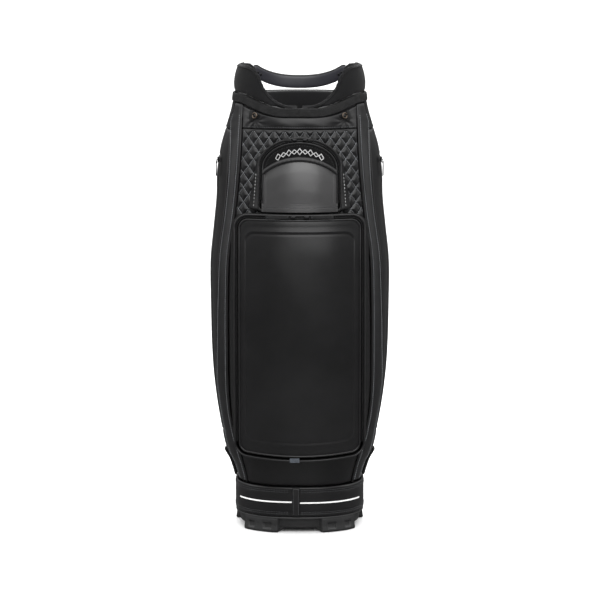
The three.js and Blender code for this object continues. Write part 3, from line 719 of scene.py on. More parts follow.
def base_belt():
    """The leather belt with its stitches, its lap and its two white stripes."""
    angles = np.linspace(0, 360, 288, endpoint=False)
    zs = np.concatenate([np.linspace(0, 5, 6), np.linspace(7, 52.6, 20), np.linspace(54.6, 59.6, 6)]) + BELT_LOW
    a, z = np.meshgrid(angles, zs)
    near = np.minimum(z - zs[0], zs[-1] - z)
    roll = round_edge(near / 4.5)
    seams = (6.0, 9.6)
    ripple = 0.3 * np.sin(np.radians(a * 5 + 40)) * np.sin(np.radians(a * 3)) * roll
    offset = -1.6 + 1.9 * roll - sum(0.55 * groove(near, at) for at in seams) + ripple
    belt = shell("base_belt_leather", belt_point(a, z, offset), belt_point(a, z, -5.8), wrap=True)
    dress(belt, LEATHER, replaces=["base_belt"])
    rows = []
    for at in seams:
        for z_row in (zs[0] + at, zs[-1] - at):
            rows.append(belt_row(np.linspace(0.4, 353, 900), z_row, 0.15))
    sew("base_belt_stitches", rows, GREY_THREAD, "leather", pitch=5.2, length=3.5)

    la, lz = np.meshgrid(belt_angle(np.linspace(-15, 0, 14)), np.linspace(BELT_LOW + 1, BELT_HIGH - 1, 34))
    across, up = distances(belt_point(la, lz))
    offset = 0.5 + 1.7 * edge_roll(across, up, 2.0)
    lap = shell("belt_lap_leather", belt_point(la, lz, offset), belt_point(la, lz, 0.35))
    dress(lap, SMOOTH, replaces=["belt_lap"])
    zs = np.linspace(BELT_LOW + 4, BELT_HIGH - 4, 40)
    rows = [belt_row(belt_angle(x), zs, 2.2) for x in (-12.6, -2.4)]
    sew("belt_lap_stitches", rows, GREY_THREAD, "leather", pitch=4.4, length=3.0)

    for side, low, high, z0 in (("left", -118, -15.6, 60.4), ("right", 0.6, 118, 58.8)):
        sa, sz = np.meshgrid(belt_angle(np.linspace(low, high, 80)), np.linspace(z0, z0 + 3, 7))
        crown = 0.45 + 0.75 * half_round((sz - z0) / 3)
        strip = shell(f"belt_stripe_{side}_trim", belt_point(sa, sz, crown), belt_point(sa, sz, 0.2))
        dress(strip, WHITE, replaces=[f"belt_stripe_{side}"])


# ---- Inside ----
def divider_pad(name, start, end):
    """One divider: a thin wall hung from a round padded bar, covered in plush with a seam along the top."""
    pad, top, half, count = 10.6, 822.0, 1.5, 44
    turns = np.radians(np.linspace(-38, 218, 30))
    section = [(pad * math.cos(t), top - 11 + pad * math.sin(t)) for t in turns]
    section += [(-half - 1.2, top - 25), (-half, top - 34), (-half, 22), (half, 22), (half, top - 34),
                (half + 1.2, top - 25)]
    start, end = np.array(start, float), np.array(end, float)
    along = unit(end - start)
    side = np.array([-along[1], along[0]])
    rings = []
    for t in np.linspace(0, 1, count):
        squeeze = 1 - 0.05 * math.sin(t * 23.0) ** 2
        sag = -1.6 * math.sin(math.pi * t)
        end_round = min(1.0, 0.55 + 0.45 * math.sqrt(max(min(t, 1 - t), 0) / 0.035))
        base = start + (end - start) * t
        ring = []
        for x, z in section:
            above = z > top - 26
            w = x * (squeeze * end_round if above else 1.0)
            h = (z - (top - 11)) * end_round + (top - 11) + sag if above else z
            if above and abs(x) < 1.3 and z > top - 2:
                h -= 0.9
            ring.append([*(base + side * w), h])
        rings.append(ring)
    step = np.linalg.norm(end - start) / count
    uvs = [(k * step, i * 3.0) for k in range(count) for i in range(len(section))]
    return ringed(name, rings, uvs)


def inside():
    """The plush-covered dividers and the lining of the club tube."""
    reach, bay = 109.0, 37
    across = math.sqrt(reach**2 - 48**2)
    dress(divider_pad("divider_centre_pad", (0, -reach), (0, reach)), PLUSH,
          replaces=["divider_centre"])
    for side, side_name in LEFT_RIGHT:
        for y, end_name in ((-bay, "front"), (bay, "rear")):
            name = f"divider_{side_name}_{end_name}"
            piece = divider_pad(f"{name}_pad", (side * 11.8, y), (side * across, y))
            dress(piece, PLUSH, replaces=[name])
    zs = np.concatenate([[20.5], np.linspace(60, 798, 24)])
    a, z = np.meshgrid(np.linspace(0, 360, 160, endpoint=False), zs)
    tube_lining = shell("club_tube_lined", oval(a, z, 114, 114, 2), oval(a, z, 111, 111, 2), wrap=True)
    dress(tube_lining, PLUSH, replaces=["club_tube"])
    floor_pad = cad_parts["base_floor_pad"].data.materials
    floor_pad.clear()
    floor_pad.append(FOAM)


# ---- Top ----
def cuff():
    """The padded cuff round the mouth, lined with plush."""
    low, inner_half = 798.4, 111
    a, v = np.meshgrid(np.linspace(0, 360, 240, endpoint=False), np.linspace(0, 1, 14))
    z = low + v * (rim_height(a) - 1.4 - low)
    inner = oval(a, z, inner_half, inner_half, 2)
    inner[..., :2] *= (1 - (0.4 + 1.2 * np.sin(math.pi * v)) / inner_half)[..., None]
    inner[..., 2] -= 2.2 * smoothstep(v, 0.86, 1.0)
    piece = shell("top_cuff_lined", body(a, z, -SKIN - 2.4), inner, wrap=True)
    dress(piece, PLUSH, replaces=["top_cuff"])


def binding():
    """The woven band round the rim, folded over its edges and stitched along both."""
    seams = (0.16, 0.84)  # shares of the band's height
    a, v = np.meshgrid(np.linspace(0, 360, 480, endpoint=False), np.linspace(0, 1, 13))
    z = rim_height(a) - BINDING * (1 - v)
    roll = round_edge(np.minimum(v, 1 - v) / 0.14)
    crease = sum(0.35 * groove(v, at, 0.04) for at in seams)
    wave = 0.35 * np.sin(np.radians(a * 17)) * np.sin(np.radians(a * 5 + 20))
    offset = 0.2 + 2.0 * roll - crease + wave * roll
    piece = shell("rim_binding_web", body(a, z, offset), body(a, z, -SKIN), wrap=True)
    dress(piece, WEB, replaces=["rim_binding"])
    at = np.linspace(0, 359.5, 720)
    rows = [body_row(at, rim_height(at) - BINDING * (1 - share), 1.6) for share in seams]
    sew("rim_binding_stitches", rows, BLACK_THREAD, "webbing", pitch=4.2, length=2.8, radius=0.3, lift=0.2)


def ear_height(angle):
    return np.maximum(ear_rise(angle), rim_height(angle) + 5)


def swell_pad(piece, voxel, cap, hold):
    """Fills a pad by a short cloth run under pressure. hold picks the points, in millimetres, that stay put."""
    scene = bpy.context.scene
    remesh = piece.modifiers.new("remesh", "REMESH")
    remesh.mode = "VOXEL"
    remesh.voxel_size = voxel * MM
    apply_modifiers(piece)
    start = vertex_array(piece.data)
    held = piece.vertex_groups.new(name="held")
    held.add([int(i) for i in np.flatnonzero(hold(millimetres(start)))], 1.0, "REPLACE")
    cloth = piece.modifiers.new("cloth", "CLOTH")
    cloth.settings.use_pressure = True
    cloth.settings.uniform_pressure_force = 4.0
    cloth.settings.vertex_group_mass = "held"
    cloth.settings.effector_weights.gravity = 0.0
    for step in range(1, 21):
        scene.frame_set(step)
    evaluated = piece.evaluated_get(bpy.context.evaluated_depsgraph_get())
    moved = vertex_array(evaluated.data) - start
    far = np.linalg.norm(moved, axis=1, keepdims=True)
    moved *= np.minimum(1.0, cap * MM / np.maximum(far, 1e-9))
    piece.modifiers.remove(cloth)
    piece.vertex_groups.clear()
    piece.data.vertices.foreach_set("co", (start + moved).ravel())
    smooth = piece.modifiers.new("smooth", "SMOOTH")
    smooth.factor = 0.5
    smooth.iterations = 3
    piece.modifiers.new("fine", "SUBSURF").levels = 1
    apply_modifiers(piece)
    piece.data.polygons.foreach_set("use_smooth", [True] * len(piece.data.polygons))
    scene.frame_set(1)


def apply_modifiers(piece):
    """Leaves the mesh as its modifiers make it."""
    evaluated = piece.evaluated_get(bpy.context.evaluated_depsgraph_get())
    mesh = bpy.data.meshes.new_from_object(evaluated)
    piece.modifiers.clear()
    piece.data = mesh


def lie_on(piece, points, lift):
    """The points moved onto the nearest surface of a piece, lifted off it by lift millimetres."""
    on_it = []
    for point in metres(points):
        _, nearest, normal, _ = piece.closest_point_on_mesh(point)
        on_it.append(np.array(nearest) + np.array(normal) * lift * MM)
    return millimetres(np.array(on_it))


def vertex_array(mesh):
    points = np.empty(len(mesh.vertices) * 3)
    mesh.vertices.foreach_get("co", points)
    return points.reshape(-1, 3)


def ear_hold(points):
    """The lower edge of an ear, sewn to the rim, and its two ends."""
    turn = np.abs(np.degrees(np.arctan2(points[:, 0], -points[:, 1])))
    return (points[:, 2] < rim_height(turn) + 9) | (turn < 22) | (turn > 122)


def ears():
    """The two padded collar ears, crowned over with foam and piped along their seam."""
    count_a, count_s = 120, 40
    outer_part, top_part = 0.42, 0.58  # shares of the way round the section: up the outside, over the top
    for side, side_name in LEFT_RIGHT:
        angles = np.linspace(0.3, 137.5, count_a)
        low, high = rim_height(angles) + 0.4, ear_height(angles)
        tall = high - low
        crown = np.minimum(tall * 0.5, 9.0)
        ends = np.clip(np.minimum(angles - angles[0], angles[-1] - angles) / 2.2, 0, 1)
        ends = np.where(angles > 60, round_edge(ends), 1.0)
        loops = []
        for k in range(count_s):
            t = k / count_s
            v = 1.0
            if t < outer_part:
                v = t / outer_part
            elif t >= top_part:
                v = 1 - (t - top_part) / (1 - top_part)
            swell = 2.0 * math.sin(math.pi * v) * np.clip(tall / 50, 0, 1)
            outer_offset = -0.6 - 4.5 * v * v + swell
            inner_offset = -19 + 6.0 * v - swell * 0.6
            middle, half = (outer_offset + inner_offset) / 2, (outer_offset - inner_offset) / 2
            if v >= 1.0:
                turn = math.pi * (t - outer_part) / (top_part - outer_part)
                offset = middle + half * math.cos(turn)
                z = high - crown + crown * math.sin(turn)
            else:
                offset = outer_offset if t < outer_part else inner_offset
                z = low + v * (high - crown - low)
            offset = middle + (offset - middle) * (0.35 + 0.65 * ends)
            z = low + (z - low) * (0.9 + 0.1 * ends)
            loops.append(body(side * angles, z, offset))
        uvs = np.stack(np.broadcast_arrays(angles[:, None] * 2.2, np.arange(count_s)[None] * 4.0), -1)
        section = np.array(loops).transpose(1, 0, 2)
        piece = ringed(f"collar_ear_{side_name}", section, uvs.reshape(-1, 2))
        swell_pad(piece, voxel=4.5, cap=5.0, hold=ear_hold)
        dress(piece, NEOPRENE, replaces=[f"collar_pad_{side_name}"])
        at = np.linspace(6, 126, 150)
        seam = lie_on(piece, body(side * at, ear_height(at) - 6.5, -4.6), 0.2)
        dress(tube(f"collar_piping_{side_name}", seam, 1.1), NEOPRENE)


HANDLE_LOW, HANDLE_RISE, HANDLE_REACH, HANDLE_TALL = 864.8, 24.5, 41.8, 25.0


def handle_low(angle):
    """The handle's lower edge, which rises towards the ears."""
    return HANDLE_LOW + HANDLE_RISE * np.minimum(((angle - 180) / HANDLE_REACH) ** 2, 0.9)


def boxed(wave, power):
    """A sine or cosine wave with its corners pushed out."""
    return np.sign(wave) * np.abs(wave) ** power


def handle():
    """The moulded handle that joins the ears at the back, with a rolled top edge."""
    turn = np.linspace(0, 2 * math.pi, 28, endpoint=False)
    angles = np.linspace(133.0, 227.0, 90)[:, None]
    z = handle_low(angles) + HANDLE_TALL / 2 * (1 + boxed(np.sin(turn), 0.55))
    piece = ringed("top_handle_moulding", body(angles, z, -4.4 + 3.2 * boxed(np.cos(turn), 0.55)))
    dress(piece, SATIN, replaces=["top_handle"])
    at = np.linspace(137.0, 223.0, 90)
    edge = body(at, handle_low(at) + HANDLE_TALL - 1.4, -4.6)
    dress(tube("top_handle_edge", edge, 3.3, 10, flat=0.7), RUBBER)
    for side, side_name in LEFT_RIGHT:
        for k, angle in enumerate((140.4, 144.2)):
            centre = body(side * angle, handle_low(angle) + 11, -7.8)
            rivet = dome(f"top_handle_rivet_{side_name}_{k}", centre, centre * [-1, -1, 0], 3.0, 1.4)
            dress(rivet, BLACK_METAL)


def plane_of(normal):
    """Two directions square to a normal."""
    helper = np.array([0.0, 0.0, 1.0]) if abs(normal[2]) < 0.9 else np.array([1.0, 0.0, 0.0])
    across = unit(np.cross(normal, helper))
    return across, np.cross(across, normal)


def dome(name, centre, normal, radius, height, rings=6, sides=20):
    """A low round head, closed underneath."""
    normal = unit(np.asarray(normal, float))
    across, up = plane_of(normal)
    turn = np.linspace(0, 2 * math.pi, sides, endpoint=False)[:, None]
    circle = (across * np.cos(turn) + up * np.sin(turn)) * radius
    lifts = [k / (rings - 0.5) * math.pi / 2 for k in range(rings)]
    rings = [centre + circle * math.cos(t) + normal * height * math.sin(t) for t in lifts]
    return ringed(name, np.array(rings))


# ---- Front ----
SNAP_X, SNAP_Z = 86, 826


def front_angle(u, zs):
    """From rail to rail across the front."""
    return (rail_inner_angle(zs) - 0.7) * (2 * u - 1)


def front_band():
    """Smooth leather across the front under the rim, pulled into small creases beside each snap."""
    def relief(angles, zs, across, up):
        x = body(angles, zs)[..., 0]
        total = 0.35 * np.sin(x * 0.11 + zs * 0.05) * np.sin(zs * 0.16)
        for side in (-1, 1):
            dx, dz = x - side * SNAP_X, zs - (SNAP_Z - 9)
            reach = np.hypot(dx, dz)
            fade = groove(reach, 0, 20) * smoothstep(reach, 3, 9)
            total += 0.8 * fade * np.cos(np.arctan2(dz, dx * side) * 9 + reach * 0.12)
            total -= 1.4 * groove(reach, 0, 12)
        return total - 0.5 * groove(zs, BAND_LOW + 4.4)

    low = BAND_LOW + GAP
    piece = panel("front_band_leather", front_angle, low, under_rim, 150, 26, puff=1.2, roll=3.0, relief=relief)
    dress(piece, SMOOTH, replaces=["front_band"])
    sew("front_band_stitches", [body_row(np.linspace(-44, 44, 200), low + 4.0, 0.1)], GREY_THREAD,
        "smooth_leather", pitch=4.6, length=3.1)


def snaps():
    """Brass ring snaps with woven loops, one each side of the band."""
    turn = np.linspace(0, 2 * math.pi, 40, endpoint=False)[:, None]
    t = np.linspace(0, 1, 24)[:, None]
    for side, side_name in LEFT_RIGHT:
        angle = angle_of(side * SNAP_X, SNAP_Z)
        centre, normal = body(angle, SNAP_Z, 2.3), body_normals(angle, SNAP_Z)
        across, up = plane_of(normal)
        ring = centre + (across * np.cos(turn) + up * np.sin(turn)) * 5.0 + normal * 1.2
        piece = tube(f"snap_ring_{side_name}", ring, 1.7, 12, closed=True, out=normal)
        dress(piece, BRASS, replaces=[f"snap_stud_{side_name}"])
        dress(dome(f"snap_cap_{side_name}", centre - normal * 0.4, normal, 4.4, 2.6), NICKEL)
        arch = np.sin(math.pi * t).clip(0) ** 0.6
        loop = centre + up * (17 - 34 * t) * 0.62 + normal * (-1.6 + 4.8 * arch) - across * side * 8.2
        dress(tube(f"snap_loop_{side_name}", loop, 3.6, 14, flat=0.28, out=normal), WEB)


QUILT_WIDE, QUILT_TALL = 20.0, 28.0


def quilt_field(x, z):
    """Distances, in millimetres, from the two families of quilting seams."""
    p = x / QUILT_WIDE + z / QUILT_TALL
    q = x / QUILT_WIDE - z / QUILT_TALL
    scale = 1 / math.hypot(1 / QUILT_WIDE, 1 / QUILT_TALL)
    return np.abs(p - np.round(p)) * scale, np.abs(q - np.round(q)) * scale


def quilted():
    """The quilted panel: leather pillows between crossing seams, stitched wherever a seam shows."""
    def relief(angles, zs, across, up):
        near = np.minimum(*quilt_field(body(angles, zs)[..., 0], zs))
        pillow = 1 - (1 - np.minimum(near / 6.4, 1)) ** 2
        return (2.9 * pillow - 1.0) * smoothstep(np.minimum(across, up), 1, 7)

    piece = panel("quilted_panel_leather", front_angle, QUILT_LOW, BAND_LOW - 0.2, 210, 170, roll=3.0, sink=1.4,
                  relief=relief)
    dress(piece, QUILT, replaces=["quilted_panel"])
    rows = []
    zs = np.linspace(QUILT_LOW + 3, BAND_LOW - 3, 240)
    for direction in (1, -1):
        for k in range(-26, 44):
            x = direction * (k - zs / QUILT_TALL) * QUILT_WIDE
            keep = (np.abs(x) < rail_inner(zs) - 3) & ~quilt_hidden(x, zs)
            for first, end in np.flatnonzero(np.diff([0, *keep.astype(int), 0])).reshape(-1, 2):
                seen = slice(first, end - 1)
                if end - 1 - first > 5:
                    rows.append(body_row(angle_of(x[seen], zs[seen]), zs[seen], -0.25))
    sew("quilting_stitches", rows, SILVER_THREAD, "quilted_leather", pitch=3.6, length=2.9, lift=0.3)


def quilt_hidden(x, z):
    """True behind the upper pocket, where no seam is seen."""
    rise = UPPER["high"] - UPPER["spring"]
    arch = UPPER["spring"] + rise * np.sqrt(np.clip(1 - (x / UPPER["half"]) ** 2, 0, 1))
    return (np.abs(x) < UPPER["half"] - 4) & (z < arch - 4)


def lower_front():
    def relief(angles, zs, across, up):
        return 0.5 * np.sin(angles * 0.21) * np.sin(zs * 0.013 + 1)

    piece = panel("lower_front_leather", front_angle, PANEL_LOW, QUILT_LOW - GAP, 90, 110, roll=4.0,
                  relief=relief)
    dress(piece, LEATHER, replaces=["lower_front_panel"])


def rails():
    """Long padded rails each side of the front, piped on the inside edge, with two rows of stitches."""
    from_inside, from_outside = 5.4, 3.8  # how far the two seams lie from the rail's edges
    vs = np.concatenate([np.linspace(0, 0.02, 5), np.linspace(0.025, 0.975, 190), np.linspace(0.98, 1, 5)])
    u, v = np.meshgrid(np.linspace(0, 1, 34), vs)
    for side, side_name in LEFT_RIGHT:
        def angles_at(z):
            return side * (rail_inner_angle(z) + (rail_outer_angle(z) - rail_inner_angle(z)) * u)

        top = under_rim(angles_at(PANEL_LOW + v * (849 - PANEL_LOW)))
        z = PANEL_LOW + v * (top - PANEL_LOW)
        angle = angles_at(z)
        flat = body(angle, z)
        crown = edge_roll(*distances(flat), 7.0)
        along = lengths(flat, 1)
        seams = groove(along, from_inside, 1.0) + groove(along[:, -1:] - along, from_outside, 1.0)
        dimple = 0.22 * np.sin(z * 0.31 + u * 3) * np.sin(z * 0.083) * crown
        offset = -2.3 + 4.2 * crown - 0.75 * seams + dimple
        piece = shell(f"rail_{side_name}_leather", body(angle, z, offset), body(angle, z, -SKIN))
        dress(piece, RAIL, replaces=[f"rail_{side_name}"])
        z = np.linspace(PANEL_LOW + 1, 822, 220)
        pipe = tube(f"rail_piping_{side_name}", body(side * (rail_inner_angle(z) - 0.25), z, 0.9), 1.9, 10)
        dress(pipe, SMOOTH)
        z = np.linspace(PANEL_LOW + 5, 826, 300)
        inner, outer = rail_inner_angle(z), rail_outer_angle(z)
        width = np.linalg.norm(body(side * outer, z) - body(side * inner, z), axis=1)
        rows = [body_row(side * (inner + (outer - inner) * share), z, 1.35)
                for share in (from_inside / width, 1 - from_outside / width)]
        sew(f"rail_stitches_{side_name}", rows, SILVER_THREAD, "leather", pitch=4.4, length=3.0, radius=0.55,
            lift=0.45)


def strip_between(side, start, end):
    """The angles of a side panel. start may be a function of height, as where it follows the rail."""
    def angle_at(u, zs):
        first = start(zs) if callable(start) else start
        return side * (first * (1 - u) + end * u)

    return angle_at


def side_panels(side, side_name):
    beside_rail = strip_between(side, lambda zs: rail_outer_angle(zs) + 0.9, 75.9)
    below_yoke = YOKE_LOW - 0.6
    piece = panel(f"side_panel_front_{side_name}", beside_rail, PANEL_LOW, below_yoke, 16, 150, roll=3.5,
                  sink=1.4)
    dress(piece, LEATHER, replaces=[f"side_panel_{side_name}"])
    gap = GAP + 0.3
    for part, low, high in (("under", PANEL_LOW, DOOR_LOW - gap), ("over", DOOR_HIGH + gap, below_yoke)):
        piece = panel(f"side_panel_{part}_{side_name}", strip_between(side, 75.0, DOOR_REAR), low, high, 44, 26,
                      roll=3.5, sink=1.4)
        dress(piece, LEATHER)


def side_pocket(side, side_name):
    """A side pocket's door with its stitches, and its zip, slider and pull."""
    def relief(angles, zs, across, up):
        fold = 0.45 * np.sin(angles * 0.35) * np.sin(zs * 0.011)
        return fold - 0.6 * groove(np.minimum(across, up), 4.2)

    rider = f"side_pocket_door_{side_name}"
    door = panel(f"side_door_{side_name}", strip_between(side, DOOR_FRONT, DOOR_REAR), DOOR_LOW, DOOR_HIGH,
                 54, 150, roll=3.0, sink=1.5, top=-0.1, relief=relief)
    dress(door, LEATHER, rider, [rider])
    low, high = DOOR_LOW + 4.2, DOOR_HIGH - 4.2
    zs = np.linspace(low, high, 220)
    angles = side * np.linspace(DOOR_FRONT + 1.8, DOOR_REAR - 1.8, 120)
    rows = [body_row(side * angle, zs, -0.5) for angle in (DOOR_FRONT + 1.5, DOOR_REAR - 1.5)]
    rows += [body_row(angles, z, -0.5) for z in (low, high)]
    sew(f"side_door_stitches_{side_name}", rows, GREY_THREAD, "leather", rider)
    tape = panel(f"side_zip_tape_{side_name}", strip_between(side, 76.2, 78.1), DOOR_LOW, DOOR_HIGH, 6, 90,
                 roll=1.0, sink=0.3, top=-1.4)
    dress(tape, ZIP_TAPE, replaces=[f"side_zip_{side_name}"])
    zs = np.linspace(DOOR_LOW + 2, DOOR_HIGH - 2, 300)
    teeth(f"side_zip_teeth_{side_name}", *body_row(side * SIDE_ZIP, zs, -1.2))
    slider_z = DOOR_HIGH - 7
    x, y, _ = body(side * SIDE_ZIP, slider_z)
    slider(f"side_slider_{side_name}", (x + side * 3.2, y - 4, slider_z), (4, 7, 11), side, front=False)
    pull_loop(f"side_pull_{side_name}", (x + side * 7.2, y - 6, slider_z - 18), 10, 30)


def yoke_and_tab(side, side_name):
    """The woven yoke over a side and the short webbing tab at its foot."""
    behind_rail = strip_between(side, lambda zs: rail_outer_angle(zs) + 1.4, 133.1)
    piece = panel(f"shoulder_yoke_web_{side_name}", behind_rail, YOKE_LOW, under_rim, 70, 24, roll=3.0, top=0.3)
    dress(piece, WEB, replaces=[f"shoulder_yoke_{side_name}"])
    row = body_row(side * np.linspace(76, 131, 90), YOKE_LOW + 4, 0.4)
    sew(f"shoulder_yoke_stitches_{side_name}", [row], GREY_THREAD, "webbing")
    front, wide, low, tall = 86, 11, 95, 55
    u, v = np.meshgrid(np.linspace(0, 1, 16), np.linspace(0, 1, 26))
    z, angle = low + tall * v, side * (front + wide * u)
    offset = 2.3 + 3.9 * edge_roll(*distances(body(angle, z)), 1.6)
    piece = shell(f"webbing_tab_web_{side_name}", body(angle, z, offset), body(angle, z, 2.2))
    dress(piece, WEB, replaces=[f"webbing_tab_{side_name}"])
    zs = np.linspace(low + 4, low + tall - 4, 30)
    rows = [body_row(side * (front + wide * share), zs, 5.8) for share in (0.12, 0.88)]
    sew(f"webbing_tab_stitches_{side_name}", rows, PALE_THREAD, "webbing", pitch=3.8, length=2.6)


def sides():
    for side, side_name in LEFT_RIGHT:
        side_panels(side, side_name)
        side_pocket(side, side_name)
        yoke_and_tab(side, side_name)


def teeth(name, path, normals, pitch=2.2, width=4.6, height=1.3):
    """A closed zip: two rows of small teeth that interlock along the path."""
    far = distance_along(path)
    at = np.linspace(pitch / 2, far[-1] - pitch / 2, int(far[-1] / (pitch / 2)))
    centre = interpolate(at, far, path)
    ups = unit(interpolate(at, far, normals))
    along = unit(np.gradient(centre, axis=0))
    side = np.cross(along, ups)
    square = ((-1, -1), (1, -1), (1, 1), (-1, 1))
    box = [(x * size, y * size, z) for z, size in ((0, 1), (1, 0.7)) for x, y in square]
    sides = [(3, 2, 1, 0), (4, 5, 6, 7), (0, 1, 5, 4), (1, 2, 6, 5), (2, 3, 7, 6), (3, 0, 4, 7)]
    points, faces = [], []
    for k, (c, a, s, u) in enumerate(zip(centre, along, side, ups)):
        start = len(points)
        lean = 0.7 if k % 2 else -0.7
        for x, y, z in box:
            across = lean + x * (width / 2 - 0.8)
            points.append(c + s * across + a * y * pitch * 0.21 + u * (z * height - 0.2))
        faces += [tuple(start + i for i in f) for f in sides]
    piece = outward(mesh_object(name, np.array(points), faces, smooth=False))
    dress(piece, TEETH)


def rounded_box(name, centre, size, corner=1.0, segments=3):
    """A box with rounded edges."""
    work = bmesh.new()
    bmesh.ops.create_cube(work, size=1.0)
    bmesh.ops.scale(work, vec=size, verts=work.verts)
    bmesh.ops.bevel(work, geom=work.edges[:], offset=min(corner, min(size) * 0.45), segments=segments,
                    affect="EDGES", profile=0.5)
    points = np.array([v.co[:] for v in work.verts]) + np.asarray(centre)
    faces = [[v.index for v in f.verts] for f in work.faces]
    work.free()
    return outward(mesh_object(name, points, faces))


def slider(name, centre, size, side, front=True):
    """A cast zip slider: a wedge body with a bridge for its pull, across its front or upright on its side."""
    centre, size = np.asarray(centre, float), np.asarray(size, float)
    wedge = rounded_box(f"{name}_body", centre, size * (0.96 if front else 0.98), corner=1.1)
    dress(wedge, BLACK_METAL, name, [name])
    turn = np.linspace(0, math.pi, 14)
    c, s = np.cos(turn), np.sin(turn)
    if front:
        path = np.stack([side * (0.4 + size[0] * 0.36 * c), -(size[1] / 2 - 0.5 + 1.2 * s), 0 * c], 1)
    else:
        path = np.stack([side * (size[0] / 2 - 0.4 + 2.0 * s), 0 * c, -3.2 + 3.6 * c], 1)
    dress(tube(f"{name}_bridge", centre + path, 0.75), BLACK_METAL, name)


def pull_loop(name, centre, width, tall):
    """A metal loop pull that hangs from a side slider."""
    turn = np.linspace(0, 2 * math.pi, 56, endpoint=False)
    y = (width / 2 - 1.2) * boxed(np.cos(turn), 0.55)
    z = (tall / 2 - 1.2) * boxed(np.sin(turn), 0.75)
    path = np.stack([0 * y, y, z], 1) + centre
    loop = tube(f"{name}_loop", path, 1.05, 10, closed=True, out=(1.0, 0, 0))
    dress(loop, NICKEL, name, [name])


# ---- Back ----
BACK_FROM, BACK_TO = 133.9, 226.1


def back():
    """The back panel with its stitches, the moulded spine, and the padded handle on it."""
    def relief(angles, zs, across, up):
        return 0.5 * np.sin(angles * 0.17) * np.sin(zs * 0.012) - 0.5 * groove(np.minimum(across, up), 4.4)

    piece = panel("back_leather", strip_between(1, BACK_FROM, BACK_TO), PANEL_LOW, under_rim, 90, 130, roll=4.0,
                  relief=relief)
    dress(piece, LEATHER, replaces=["back_panel"])
    zs = np.linspace(PANEL_LOW + 6, 838, 300)
    rows = [body_row(angle, zs, -0.3) for angle in (BACK_FROM + 1.95, BACK_TO - 1.95)]
    sew("back_stitches", rows, GREY_THREAD, "leather", pitch=4.8, length=3.3)

    us, vs = np.meshgrid(np.linspace(-1, 1, 36), np.linspace(0, 1, 90))
    z = 120 + 718 * vs
    angle = 180 + us * angle_of(22.0, z)
    across, up = distances(body(angle, z))
    rib = 0.6 * np.cos(us * math.pi * 3) * edge_roll(across, up, 6)
    offset = 1.0 + 7.2 * edge_roll(across, up, 5.0) + rib
    piece = shell("back_spine_moulding", body(angle, z, offset), body(angle, z, 0.5))
    dress(piece, PLASTIC, replaces=["back_spine"])

    low, high, stand = 568, 692, 37.5
    seat = float(back_depth(560)) + 9 + 1.2
    curve = [(0, low), (stand - 1.5, low), (stand, low + 16), (stand, 630), (stand, high - 16),
             (stand - 1.5, high), (0, high)]
    path = []
    for k in range(3):
        a, b, c = (np.array([0, seat + out, z]) for out, z in curve[2 * k:2 * k + 3])
        for t in np.linspace(0, 1, 22, endpoint=k == 2):
            path.append((1 - t) ** 2 * a + 2 * t * (1 - t) * b + t * t * c)
    path = resample_to(path, int(round(distance_along(path)[-1] / 2.2)) + 1)
    fat = 12.5 + 2.2 * np.sin(math.pi * np.linspace(0, 1, len(path))).clip(0) ** 0.7
    out = np.cross(unit(np.gradient(path, axis=0)), [1.0, 0, 0])
    grip = tube("spine_handle_grip", path, fat, 20, flat=0.46, out=out)
    dress(grip, SMOOTH, replaces=["spine_handle"])
    middle = slice(6, -6)
    rows = []
    for side in (-1, 1):
        rows.append((path[middle] + np.array([side * 11.4, 0, 0]) - out[middle] * 4.0, -out[middle]))
    sew("spine_handle_stitches", rows, GREY_THREAD, "leather", pitch=4.2, length=2.9)
    for end, z in (("low", low), ("high", high)):
        plate = rounded_box(f"spine_handle_plate_{end}", (0, seat + 1.0, z), (36, 4.4, 22), 1.6)
        dress(plate, PLASTIC)


STRAP = dict(x=76, low=335, high=785, stand=17.5, bow=36, end_half=10, half=29, thick=13)


def strap_line(v):
    """The inner face of the shoulder strap: y and z at v from its lower end to its upper one."""
    s = STRAP
    ends = [body(180 - angle_of(float(s["x"]), z), z)[1] + s["stand"] for z in (s["low"], s["high"])]
    y = ends[0] + (ends[1] - ends[0]) * v + s["bow"] * np.sin(math.pi * v)
    return y, s["low"] - 6 + (s["high"] - s["low"] + 12) * v


STRAP_PADDING = profile((0, 0), (0.12, 0.1), (0.25, 1), (0.75, 1), (0.88, 0.1), (1, 0))


def strap_size(v):
    """How full the strap's padding is at v, its half width there, and its thickness."""
    full = np.clip(STRAP_PADDING(v), 0, 1)
    return full, STRAP["end_half"] + (STRAP["half"] - STRAP["end_half"]) * full, 4 + (STRAP["thick"] - 4) * full


def shoulder_strap():
    """The padded strap, its stitches, and at each end its sewn anchor and ring."""
    turn = np.linspace(0, 2 * math.pi, 40, endpoint=False)
    v = np.linspace(0.0, 1, 150)[:, None]
    full, half, thick = strap_size(v)
    y, z = strap_line(v)
    pinch = 1 - 0.06 * full * groove((v - 0.5) % 0.11, 0.055, 0.008)
    depth = thick / 2 + thick / 2 * boxed(np.sin(turn), 0.5 + 0.4 * full) * pinch
    x = STRAP["x"] + half * boxed(np.cos(turn), 0.5)
    piece = ringed("shoulder_strap_pad", np.stack(np.broadcast_arrays(x, y + depth, z), -1))
    dress(piece, LEATHER, "shoulder_strap", ["shoulder_strap"])
    v = np.linspace(0.03, 0.97, 200)
    full, half, thick = strap_size(v)
    y, z = strap_line(v)
    rows = []
    for side in (-1, 1):
        rows.append((np.stack([STRAP["x"] + side * (half - 3.4), y + thick * 0.9042, z], 1), (0.0, 1.0, 0.0)))
    sew("shoulder_strap_stitches", rows, GREY_THREAD, "leather", "shoulder_strap", length=3.5)
    for end, v_end, z_at in (("upper", 1.0, STRAP["high"]), ("lower", 0.0, STRAP["low"])):
        strap_anchor(end, float(strap_line(v_end)[0]), z_at)


